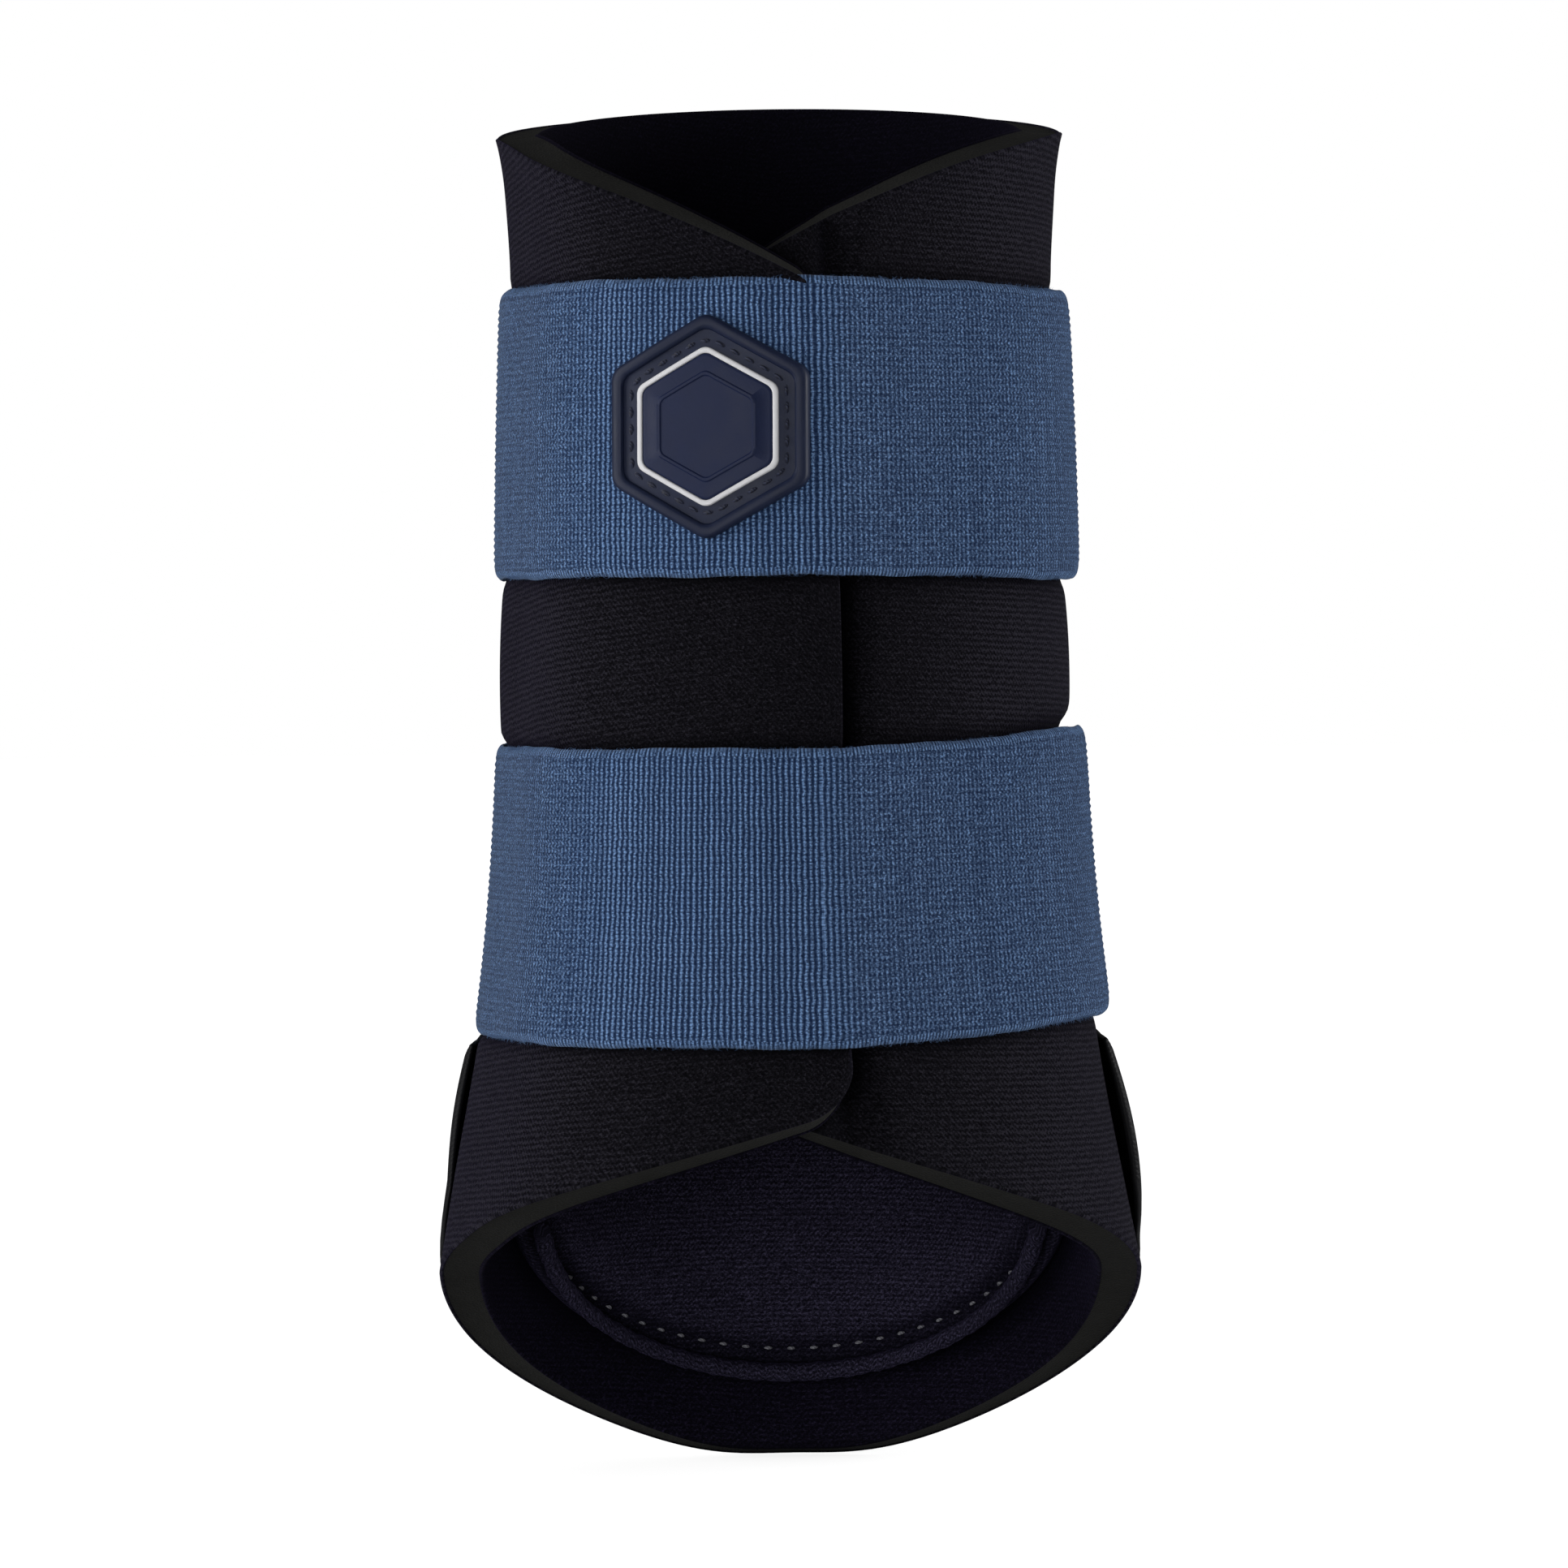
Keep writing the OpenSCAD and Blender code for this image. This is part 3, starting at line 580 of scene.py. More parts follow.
def wrap_ply(side, ply):
    """The mesh of one ply, pushed by the lap, the swells and the lips, and its finish."""
    half = HALVES[side]
    top, bottom, counts, rim, finish = PLIES[ply]
    t, reach = half["angles"], half["reach"]
    a = -half["way"] * t
    cut = corner_cut(np.radians(reach + a) * (WAIST_R + LIFT), CORNER_R)
    lo, hi = hem(a) + cut, top_edge(a, reach) - cut
    z = row_heights(lo, hi, counts)
    off_top, off_low = slant(side, a)
    faces_z = []
    for depth in (top, bottom):
        rest = 1 - depth / WRAP_T
        low_cut = np.maximum(off_low, 0) * rest - np.minimum(off_low, 0) * depth / WRAP_T
        faces_z.append(row_heights(lo + low_cut, hi - off_top * rest, counts))
    tt = np.broadcast_to(t[:, None], z.shape)
    aa = -half["way"] * tt
    step = left_step(aa) if side == "left" else right_step(aa) + crevice(tt)
    shown = 1 if side == "left" else ease((tt - 8) / 14)
    skin = shown * (swell(tt, z) + pinch(tt, z))
    edges = step + shown * bare(tt, z) * lip(z - lo[:, None], hi[:, None] - z, aa)
    return sheet_solid(side + "_half_" + ply, t, faces_z[0],
                       edges + skin * (1 - top / WRAP_T) - top,
                       edges + skin * (1 - bottom / WRAP_T) - bottom,
                       rim, open_start=True, turned=half["tilt"], inner_heights=faces_z[1]), finish


# %% [markdown]
# ## Placing and finishing pieces
# Opened, the laminate folds at the sides of the leg. Here each piece keeps its place as built, and that
# place is baked into its mesh.


def bend_with(piece):
    """Bakes the piece's place into its mesh."""
    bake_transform(piece)


def finished(piece, material, slot, *nodes):
    """Gives a piece its material, and hides the named solids that it stands for, if any.
    slot: not used.
    """
    piece.data.materials.append(material)
    if nodes:
        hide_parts(*nodes)


def flat_area(piece):
    """Half of a thin closed sheet's skin, in square metres."""
    return sum(f.area for f in piece.data.polygons) / 2


# %% The wrap, ply by ply
for side in HALVES:
    for ply in PLIES:
        piece, finish = wrap_ply(side, ply)
        nodes = [side + "_" + ply] + (["back_" + ply] if side == "left" else [])
        finished(piece, finish, ply, *nodes)
        bend_with(piece)
        print(piece.name, len(piece.data.polygons), "faces", round(flat_area(piece) * 1e4), "cm2")

# %% [markdown]
# ## Elastic webbing
# The straps are ribbed elastic: upright ribs of blue thread a little under a millimetre apart, bound
# by level ridges where the rubber core pulls them in. Real yarns as curves would take hundreds of
# thousands of faces, so waves round and up the strap draw the ribs and the ridges. Towards both sides
# the ribs give way to a finer, mottled twill, as the cloth does where it is stretched less. Every rib
# gets its own brightness, since dyed yarn is never even, and noise breaks the yarn into bright hairs
# and dark gaps. The outer eight tenths of a millimetre are a selvedge of tight loops, with a darker
# line just inside it.

# %% The weave's waves
RIB, RIDGE, KNOT, SELVEDGE = 0.87, 1.1, 0.56, 0.8


def upright_ribs(tree, place, along, up):
    """Ribs with knots along them, the plain ribs, and a number from 0 to 1 for each rib."""
    wander = calc(tree, "MULTIPLY_ADD", speckle(tree, place, 0.35, 2), 0.5, along)
    rib_number = calc(tree, "FLOOR", calc(tree, "MULTIPLY", wander, 1 / RIB))
    each_rib = tree.nodes.new("ShaderNodeTexWhiteNoise")
    each_rib.noise_dimensions = "1D"
    tree.links.new(rib_number, each_rib.inputs["W"])
    own = each_rib.outputs["Value"]
    ribs = calc(tree, "POWER", wave(tree, wander, RIB, -math.pi / 2), 1.3)
    stagger = calc(tree, "MULTIPLY_ADD", rib_number, KNOT / 2, up)
    knots = wave(tree, calc(tree, "MULTIPLY_ADD", own, 0.4, stagger), KNOT)
    return calc(tree, "MULTIPLY", ribs, calc(tree, "MULTIPLY_ADD", knots, 0.55, 0.45)), ribs, own


def mottled_twill(tree, place, along, up, ribs):
    """A finer weave of two slanting waves, broken up by noise."""
    one_way = calc(tree, "MULTIPLY_ADD", along, 0.9, up)
    other_way = calc(tree, "MULTIPLY_ADD", along, -1.3, up)
    twill = calc(tree, "MULTIPLY", wave(tree, one_way, 0.74), wave(tree, other_way, 1.02))
    mottle = calc(tree, "MULTIPLY_ADD", speckle(tree, place, 1.9, 3), 3.2, -1.25)
    twill = calc(tree, "MULTIPLY_ADD", twill, 0.45, calc(tree, "MULTIPLY", ribs, 0.25))
    twill = calc(tree, "MAXIMUM", calc(tree, "MULTIPLY_ADD", mottle, 0.7, twill), 0.0)
    # The finer weave is also scaled darker than the ribs: painted shade that keeps the strap's sides darker
    # than its middle.
    return calc(tree, "MULTIPLY", calc(tree, "POWER", twill, 1.8), 0.76)


# %% Ribbed webbing
def ribbed_webbing():
    made, tree, shader = surface("ribbed_webbing", 0.85, 0.05, 0.16, (0.75, 0.85, 1.0))
    place, along, up, from_edge = cloth_place(tree)
    ribbed, ribs, own = upright_ribs(tree, place, along, up)
    twill = mottled_twill(tree, place, along, up, ribs)
    near_middle = calc(tree, "ABSOLUTE", calc(tree, "ADD", along, 11))
    ribs_share = between(tree, near_middle, 14.0, 24.0, 1.0, 0.25, "SMOOTHSTEP")
    body = mixed(tree, ribs_share, twill, ribbed)
    body = calc(tree, "MULTIPLY_ADD", wave(tree, up, RIDGE), 0.12, body)
    loops = calc(tree, "MULTIPLY_ADD", wave(tree, along, 0.62), 0.6, calc(tree, "MULTIPLY", body, 0.4))
    height = mixed(tree, calc(tree, "LESS_THAN", from_edge, SELVEDGE), body, loops)
    hair = speckle(tree, place, 4.0, 3)
    lit = calc(tree, "POWER", height, 1.5)
    lit = calc(tree, "MULTIPLY", lit, calc(tree, "MULTIPLY_ADD", own, 0.35, 0.8))
    lit = calc(tree, "MULTIPLY", lit, calc(tree, "MULTIPLY_ADD", hair, 6.4, -2.1))
    lit = calc(tree, "MAXIMUM", lit, 0.0)
    sewn_in = calc(tree, "COMPARE", from_edge, SELVEDGE + 0.3, 0.25)
    lit = calc(tree, "MULTIPLY", lit, calc(tree, "MULTIPLY_ADD", sewn_in, -0.25, 1.0))
    worn = speckle(tree, place, 0.09, 3)
    gaps = blend_colour(tree, worn, (0.006, 0.016, 0.050), (0.009, 0.022, 0.068))
    yarns = blend_colour(tree, worn, (0.178, 0.318, 0.600), (0.226, 0.386, 0.690))
    tree.links.new(blend_colour(tree, lit, gaps, yarns), shader.inputs["Base Color"])
    raised(tree, shader, calc(tree, "MULTIPLY_ADD", hair, 0.3, height), 0.25)
    return made


webbing = ribbed_webbing()
print("webbing:", len(webbing.node_tree.nodes), "nodes")

# %% [markdown]
# ## The straps
# A strap is sewn down behind the left side, runs across the left half, steps off its free edge and
# lands on the right half, where hook and loop hold it. A curve with a flat profile would do for a plain
# band, but it would twist on the cone of the leg and cut into the step. So a strap is a sheet at a
# stand-off from the wrap. It leaves the edge on a straight line, as a tight band does, and the bend over
# the edge is rounded by averaging the path over a few degrees. The level ridges are real relief in the
# mesh, so that they also show along the outline.

# %% The path of a strap
BRIDGE_END = 42
HOOK_T, LOOP_T, LAY = 0.4, 0.4, 0.2
PATCH_T = LAY + LOOP_T + GAP + HOOK_T + LAY
GUARD_T, SEAT = 1.8, 0.45
CLIMB_FROM, CLIMB_RUN = 99, 9


def off_edge(t):
    """Stand-off in front: on the over half, across the step, then over the hook and loop patches."""
    u = np.clip((t - LEFT_REACH) / (BRIDGE_END - LEFT_REACH), 0, 1)
    landed = right_step(t) + PATCH_T
    bridging = landed + (LIFT + GAP - landed) * (1 - u) ** 2.2
    return np.where(t > LEFT_REACH, bridging, left_step(-t) + GAP)


def strap_path(t, climb):
    """Stand-off of a strap's inner face. Only the lower strap climbs onto the guard, by climb."""
    spans = np.linspace(-2.4, 2.4, 9)
    weights = np.cos(spans / 2.4 * math.pi / 2) ** 2
    front = sum(w * off_edge(t + s) for w, s in zip(weights, spans)) / weights.sum()
    path = np.where(t < -89, GAP + climb * ease((-t - CLIMB_FROM) / CLIMB_RUN), front)
    return path - (hug(t) if climb else 0)


def strap_length(start, end):
    """Length along the middle of a strap's thickness between two angles, in metres."""
    t = np.linspace(start, end, 400)
    path = at(t, UPPER_Z + 0 * t, strap_path(t, 0) + STRAP_T / 2)
    return float(np.linalg.norm(np.diff(path, axis=0), axis=1).sum())


print("a strap's free end is", round(strap_length(SPLIT, STRAP_END) / MM), "mm long")


# %% The mesh of a strap
def end_angles(start, end, step):
    """Even steps up to the rounded corners, then closer ones."""
    corner = corner_angles(end, 1 if end > start else -1, STRAP_CORNER_R, 12)
    return np.concatenate([np.linspace(start, corner[0], round(abs(corner[0] - start) / step))[:-1], corner])


def strap_mesh(name, angles, middle, rise, climb, end):
    """One part of a strap. Its edges wander a little, thin out and lean in, as webbing's do."""
    tt = angles[:, None]
    cut = corner_cut((end - tt) * math.pi / 180 * WAIST_R, STRAP_CORNER_R) if end else 0 * tt
    mid = strap_middle(middle, rise, tt) + 0.16 * np.sin(tt / 6.3 + middle) + 0.08 * np.sin(tt / 2.1)
    rows = round(STRAP_W / RIDGE * 4)
    share = np.linspace(0, 1, rows + 1)[None, :]
    lo, hi = mid - STRAP_W / 2 + cut, mid + STRAP_W / 2 - cut
    z = lo + (hi - lo) * share
    from_edge = np.minimum(z - lo, hi - z)
    ridge = 0.11 * np.cos(2 * math.pi * (z - mid) / RIDGE) * ease((from_edge - 1) / 1.5)
    bow = 0.15 * np.sin(np.pi * share) - 0.25 * np.exp(-from_edge / 0.5)
    inner = strap_path(tt, climb) - 0.3 * np.exp(-from_edge / 1.2)
    return sheet_solid(name, angles, z, inner + STRAP_T + ridge + bow, inner, (0.45, 4),
                       open_start=True)


# %% [markdown]
# Worn webbing sheds short hairs of yarn along its edges, and they soften its outline. Blender's hair
# particles would not go into the exported mesh. Each hair is instead a tiny three-sided blade, bent as
# it leaves the edge. All the random numbers come from a seed, so the hairs are the same in every run.

# %% Yarn hairs
def hair_finish():
    made, tree, shader = surface("yarn_hair", 0.8, 0.1)
    place, _, _, _ = cloth_place(tree)
    tree.links.new(blend_colour(tree, speckle(tree, place, 1.3), (0.03, 0.06, 0.14), (0.15, 0.24, 0.42)),
                   shader.inputs["Base Color"])
    return made


def edge_fuzz(name, span, middle, rise, climb, count, seed):
    """Short hairs of yarn along both edges of a strap, each a thin bent three-sided blade."""
    rng = np.random.default_rng(seed)
    side = rng.choice([-1.0, 1.0], count)
    t0 = rng.uniform(*sorted(span), count)
    length, lean, out = rng.uniform(0.3, 1.1, count), rng.normal(0, 0.6, count), rng.uniform(0, 0.5, count)
    depth = strap_path(t0, climb) + rng.uniform(0.3, 1.3, count)
    z0 = strap_middle(middle, rise, t0) + side * (STRAP_W / 2 - 0.1)
    steps = np.array([0, 0.5, 1.0])
    grow = steps[None, :] * length[:, None]
    z = z0[:, None] + side[:, None] * (grow - 0.25 * grow * steps)
    t = t0[:, None] + np.degrees(lean[:, None] * grow * steps / WAIST_R)
    off = depth[:, None] + out[:, None] * grow
    thick = 0.045 * (1.15 - steps)[None, :]
    corners = [at(t + np.degrees(thick * math.cos(turn) / WAIST_R), z, off + thick * math.sin(turn))
               for turn in (0.3, 2.4, 4.5)]
    points = np.stack(corners, axis=2).reshape(-1, 3)
    base = np.arange(len(points)).reshape(count, len(steps), 3)
    around = np.repeat(np.radians(t) * WAIST_R, 3, axis=1).reshape(-1)
    cloth = np.stack([around, np.repeat(z, 3, axis=1).reshape(-1), 0 * around + 1.0], -1)
    return mesh_piece(name, points, tube_faces(base), cloth)


yarn_hair = hair_finish()
print("hairs:", yarn_hair.name)

# %% [markdown]
# A strap is made in two parts that meet at one angle.

# %% Make both straps
STRAPS = {"upper": (UPPER_Z, UPPER_RISE, 0), "lower": (LOWER_Z, LOWER_RISE, GUARD_T + SEAT)}


def peel_with(piece):
    """Bakes the piece's place into its mesh."""
    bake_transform(piece)


for level, (middle, rise, climb) in STRAPS.items():
    band = strap_mesh(level + "_strap_band", np.linspace(SPLIT, -ANCHOR_END, 106), middle, rise, climb, None)
    finished(band, webbing, "webbing", level + "_strap_anchor", level + "_strap_front")
    bend_with(band)
    tail = strap_mesh(level + "_strap_end_piece", end_angles(SPLIT, STRAP_END, 1.2), middle, rise, climb,
                      STRAP_END)
    finished(tail, webbing, "webbing", level + "_strap_tail")
    peel_with(tail)
    seed = round(middle) + 100
    fuzz = edge_fuzz(level + "_strap_hairs", (-72, SPLIT), middle, rise, climb, 900, seed)
    bend_with(fuzz)
    ends = edge_fuzz(level + "_strap_end_hairs", (SPLIT, 70), middle, rise, climb, 800, seed + 1)
    peel_with(ends)
    for hairs in (fuzz, ends):
        finished(hairs, yarn_hair, "webbing")

# %% [markdown]
# ## Hook and loop
# Behind each strap's free end sits a patch of stiff hooks, and on the right half a patch of brushed
# loops. They show only when a strap is peeled, so modelled hooks would be wasted: both are thin sheets
# with the pile in their finish. The hooks stand in even rows, so a grid of dots makes them, and the
# loops are a felted tangle, so a fine noise does.

# %% Hook and loop finishes
def hook_tape():
    made, tree, shader = surface("hook_tape", 0.45, 0.4)
    place, along, up, _ = cloth_place(tree)
    dots = calc(tree, "MULTIPLY", wave(tree, along, 1.5), wave(tree, up, 1.1))
    height = calc(tree, "POWER", dots, 2.5)
    tone = calc(tree, "MULTIPLY", height, speckle(tree, place, 1.2))
    tree.links.new(blend_colour(tree, tone, (0.006, 0.006, 0.008), (0.07, 0.07, 0.08)),
                   shader.inputs["Base Color"])
    raised(tree, shader, height, 0.7)
    return made


def loop_tape():
    made, tree, shader = surface("loop_tape", 0.95, 0.1, 0.15, (0.7, 0.7, 0.9))
    place, _, _, _ = cloth_place(tree)
    tangle = speckle(tree, place, 2.2, 6)
    tree.links.new(blend_colour(tree, tangle, (0.002, 0.002, 0.003), (0.022, 0.021, 0.027)),
                   shader.inputs["Base Color"])
    raised(tree, shader, tangle, 0.8)
    return made


# %% Hook and loop patches
PATCH_FROM, PATCH_TO, PATCH_MARGIN = 46, 86, 3
TAPES = {"loop": (loop_tape(), LOOP_T), "hook": (hook_tape(), HOOK_T)}
for level, (middle, rise, climb) in STRAPS.items():
    for kind, (finish, thick) in TAPES.items():
        t = np.linspace(PATCH_FROM, PATCH_TO, 41)
        half = STRAP_W / 2 - PATCH_MARGIN
        z = strap_middle(middle, rise, t)[:, None] + np.linspace(-half, half, 43)[None, :]
        inner = right_step(t) + LAY if kind == "loop" else strap_path(t, 0) - LAY - HOOK_T
        inner = inner[:, None] + 0 * z
        patch = sheet_solid(level + "_" + kind + "_tape", t, z, inner + thick, inner, (0.1, 3))
        finished(patch, finish, "hook_and_loop", level + "_" + kind + "_patch")
        if kind == "loop":
            bend_with(patch)
        else:
            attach(patch, level + "_strap_end")

# %% [markdown]
# ## Thread
# A lock stitch shows as a short bar of twisted thread that dives into the cloth at both ends. One stitch
# could be copied along a curve, but copies stand stiffly on a surface that bends two ways. Each stitch
# here is a small bent tube of its own, thickest in the middle. One function lays a whole row along a
# path, and it needs only the path's points and the direction in which the surface faces there.

# %% Finishes of the threads
def thread_finish(name, dark, light):
    made, tree, shader = surface(name, 0.6, 0.35, 0.1)
    place = object_place(tree)
    twist = tree.nodes.new("ShaderNodeTexWave")
    twist.bands_direction = "DIAGONAL"
    twist.inputs["Scale"].default_value = 900
    tree.links.new(place, twist.inputs["Vector"])
    tree.links.new(blend_colour(tree, twist.outputs["Fac"], dark, light), shader.inputs["Base Color"])
    raised(tree, shader, twist.outputs["Fac"], 0.06)
    return made


grey_thread = thread_finish("grey_thread", (0.05, 0.05, 0.058), (0.13, 0.13, 0.145))
pale_thread = thread_finish("pale_thread", (0.10, 0.10, 0.12), (0.24, 0.24, 0.27))
blue_thread = thread_finish("blue_thread", (0.035, 0.070, 0.17), (0.11, 0.19, 0.38))
dark_thread = thread_finish("dark_thread", (0.008, 0.010, 0.022), (0.022, 0.028, 0.06))
print("threads:", [made.name for made in (grey_thread, pale_thread, blue_thread, dark_thread)])


# %% Rows of stitches
THREAD_R = 0.3
FLAT_R = WAIST_R + 3  # paths on the wrap are laid out flat as if it had this radius all the way


def evenly(points, pitch):
    """The same path, walked in even steps of about pitch."""
    steps = np.linalg.norm(np.diff(points, axis=0), axis=1)
    walked = np.concatenate([[0], np.cumsum(steps)])
    count = max(2, round(walked[-1] / pitch))
    marks = np.linspace(0, walked[-1], count + 1)
    return np.stack([np.interp(marks, walked, points[:, k]) for k in range(points.shape[1])], axis=1)


def stitch_tubes(name, starts, ends, facing, radius, share=0.72):
    """One small tube for each stitch, all in one mesh. share: of the pitch that shows as thread."""
    mid, half = (starts + ends) / 2, (ends - starts) * share / 2
    starts, ends = mid - half, mid + half
    run = (ends - starts) / np.linalg.norm(ends - starts, axis=1, keepdims=True)
    side = np.cross(run, facing)
    side /= np.linalg.norm(side, axis=1, keepdims=True)
    face = np.cross(side, run)
    steps, sides = 7, 7
    s = np.linspace(0, 1, steps)[None, :, None, None]
    bulge = np.sin(np.pi * s)
    turn = np.linspace(0, 2 * np.pi, sides, endpoint=False)[None, None, :, None]
    middle = starts[:, None, None] + (ends - starts)[:, None, None] * s
    middle = middle + face[:, None, None] * (bulge * 1.1 - 0.9) * radius
    thick = radius * (0.55 + 0.45 * bulge)
    ring = middle + thick * (np.cos(turn) * side[:, None, None] + np.sin(turn) * face[:, None, None])
    base = np.arange(len(starts) * steps * sides).reshape(len(starts), steps, sides)
    return mesh_piece(name, ring.reshape(-1, 3), tube_faces(base), sharp=70)


def away_from_leg(t):
    """Level directions straight out of the leg at t degrees."""
    return np.stack([sin_deg(t), -np.cos(np.radians(t)), 0 * t], axis=1)


def row_on(path_tz, stand_off, pitch):
    """Starts, ends and facings of stitches along a path of angles and heights."""
    flat = np.stack([np.radians(path_tz[:, 0]) * FLAT_R, path_tz[:, 1]], axis=1)
    even = evenly(flat, pitch)
    t, z = np.degrees(even[:, 0]) / FLAT_R, even[:, 1]
    spots = at(t, z, stand_off(t, z) + THREAD_R * 0.6)
    return spots[:-1], spots[1:], away_from_leg((t[:-1] + t[1:]) / 2)


# %% The boxes of stitches that hold the straps
BOX_INSET, BOX_DEEP, BOX_MARGIN, BOX_STITCH = 2, 12, 3, 2.9
for level, (middle, rise, climb) in STRAPS.items():
    near = -ANCHOR_END + math.degrees(BOX_INSET / WAIST_R)
    far = near + math.degrees(BOX_DEEP / WAIST_R)
    half = STRAP_W / 2 - BOX_MARGIN
    box = [(near, -half), (near, half), (far, half), (far, -half), (near, -half)]
    rows = []
    for (t0, z0), (t1, z1) in zip(box, box[1:]):
        path = np.array([[t0, middle + z0], [t1, middle + z1]])
        rows.append(row_on(path, lambda t, z: strap_path(t, climb) + STRAP_T + 0.1, BOX_STITCH))
    starts, ends, outward = (np.concatenate(part) for part in zip(*rows))
    sewn = stitch_tubes(level + "_anchor_thread", starts, ends, outward, THREAD_R * MM)
    finished(sewn, blue_thread, "blue_thread", level + "_anchor_stitches")
    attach(sewn, "boot_back")
    print(sewn.name, len(starts), "stitches")

# %% [markdown]
# ## The strike guard
# The guard is a moulded shell that follows the tendon and spreads into two wings round the fetlock.
# Such shells have a shallow channel all round, which lets the stitches lie below the surface, and
# thin soft edges. A boolean cut would leave a ragged groove on a shell that bends both ways. Here the
# channel is sunk by distance: each grid point drops by how near it lies to a line that runs a few
# millimetres inside the outline.

# %% Finish of the moulded shell
def moulded_shell():
    made, tree, shader = surface("moulded_shell", 0.5, 0.12)
    place = object_place(tree)
    grain = speckle(tree, place, 2200, 2)
    scuffs = speckle(tree, place, 90, 4)
    tree.links.new(blend_colour(tree, scuffs, (0.004, 0.004, 0.005), (0.010, 0.010, 0.012)),
                   shader.inputs["Base Color"])
    tree.links.new(calc(tree, "MULTIPLY_ADD", scuffs, 0.3, 0.38), shader.inputs["Roughness"])
    raised(tree, shader, grain, 0.03)
    return made


# %% The guard's outline
GUARD_TOP_Z, GUARD_HALF, GUARD_CORNER = 84, 47, 12  # the tongue: its top, its half width in degrees
WING_HALF, WING_TOP_Z, WING_CORNER, WING_BEND, WING_THIN = 88, -40, 10, 4, 12
GUARD_MARGIN, SEW_INSET = 5, 4


def guard_high(b):
    """Height of the guard's upper edge, b degrees from the middle of the back."""
    u = np.clip((b - GUARD_HALF) / (WING_HALF - GUARD_HALF), 0, 1)
    tongue = GUARD_TOP_Z - corner_cut(np.radians(GUARD_HALF - b) * WAIST_R, GUARD_CORNER)
    wing = WING_TOP_Z + (GUARD_TOP_Z - GUARD_CORNER - WING_TOP_Z) * (1 - u) ** WING_BEND
    return np.where(b < GUARD_HALF, tongue, wing)


def guard_low(b):
    """Height of its lower edge."""
    return hem(180 - b) + GUARD_MARGIN + corner_cut(np.radians(WING_HALF - b) * WAIST_R, WING_CORNER)


def guard_skin(b):
    """Its thickness, less towards the wings' ends."""
    return GUARD_T * (1 - 0.35 * ease((b - WING_HALF + WING_THIN) / WING_THIN))


def guard_outline():
    """The outline laid out flat in even steps, taken from close points at the tongue's corners."""
    ends = np.linspace(-WING_HALF, -WING_HALF + 8, 25)
    corner = np.linspace(GUARD_HALF - 3, GUARD_HALF + 3, 60)
    b = np.concatenate([ends, np.linspace(-WING_HALF + 8.3, WING_HALF - 8.3, 500), -ends, corner, -corner])
    b = np.sort(b)
    low_line, high_line = (np.stack([np.radians(b) * FLAT_R, edge(np.abs(b))], axis=1)
                           for edge in (guard_low, guard_high))
    return evenly(np.concatenate([low_line, high_line[::-1], low_line[:1]]), 0.8)


def distance_to(points, line):
    """Least distance from each point to a dense line of points, in blocks to save memory."""
    flat = points.reshape(-1, 2)
    found = [np.sqrt(((block[:, None] - line[None]) ** 2).sum(-1).min(1))
             for block in np.array_split(flat, max(1, len(flat) // 2000))]
    return np.concatenate(found).reshape(points.shape[:-1])


guard_line = guard_outline()
print("guard's outline:", len(guard_line), "points")


# %% The shell
def wing_bow(b, z):
    """The wings spring off the cup a little, more on the right, where the wrap is pulled over."""
    most, reach = np.where(b < 0, 1.9, 0.9), np.where(b < 0, 35, 25)
    return most * ease((np.abs(b) - 55) / 25) * np.sin(np.pi * np.clip((-37 - z) / reach, 0, 1))


def guard_mesh():
    """Channel, thin edge and crown come from how far each point lies inside the outline."""
    corner = WING_HALF - np.degrees(WING_CORNER * (1 - np.cos(np.radians(np.linspace(90, 0, 9)))) / WAIST_R)
    half = np.concatenate([np.arange(0, 43, 1.2), np.arange(43, 52, 0.45), np.arange(52, 79, 1.1), corner])
    b = np.unique(np.concatenate([-half, half]))
    share = np.linspace(0, 1, 120)
    share = 0.5 * share + 0.25 * (1 - np.cos(np.pi * share))
    lo, hi = guard_low(np.abs(b))[:, None], guard_high(np.abs(b))[:, None]
    z = lo + (hi - lo) * share[None, :]
    spots = np.stack([np.radians(b)[:, None] * FLAT_R + 0 * z, z], axis=-1)
    inset = distance_to(spots, guard_line)
    channel = 0.55 * np.exp(-((inset - SEW_INSET) / 1.0) ** 2)
    soft_edge = 0.7 * np.exp(-inset / 0.9)
    crown = 0.5 * ease((inset - 6) / 14)
    bow = wing_bow(b[:, None], z)
    top = SEAT + guard_skin(np.abs(b))[:, None] - channel - soft_edge + crown + bow
    return sheet_solid("strike_guard_shell", 180 + b, z, top, SEAT + 0.6 * bow, (0.35, 5))


guard = guard_mesh()
finished(guard, moulded_shell(), "guard", "strike_guard")
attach(guard, "boot_back")
print("guard:", len(guard.data.polygons), "faces")

# %% [markdown]
# The guard is sewn down all round. Drawing the stitches' path again by hand could miss the channel, so
# the outline itself is moved inwards. At its corners some moved points come back too near to the line,
# where the path would fold over itself, and those are left out.

# %% The guard's stitches
STITCH = 3.6


def inset_path(line, inset):
    """The line moved inwards by inset, without the points that would fold over."""
    along = np.roll(line, -1, 0) - np.roll(line, 1, 0)
    away = np.stack([-along[:, 1], along[:, 0]], axis=1)
    away /= np.linalg.norm(away, axis=1, keepdims=True) + 1e-9
    moved = line + away * inset
    return moved[distance_to(moved, line) > inset * 0.97]


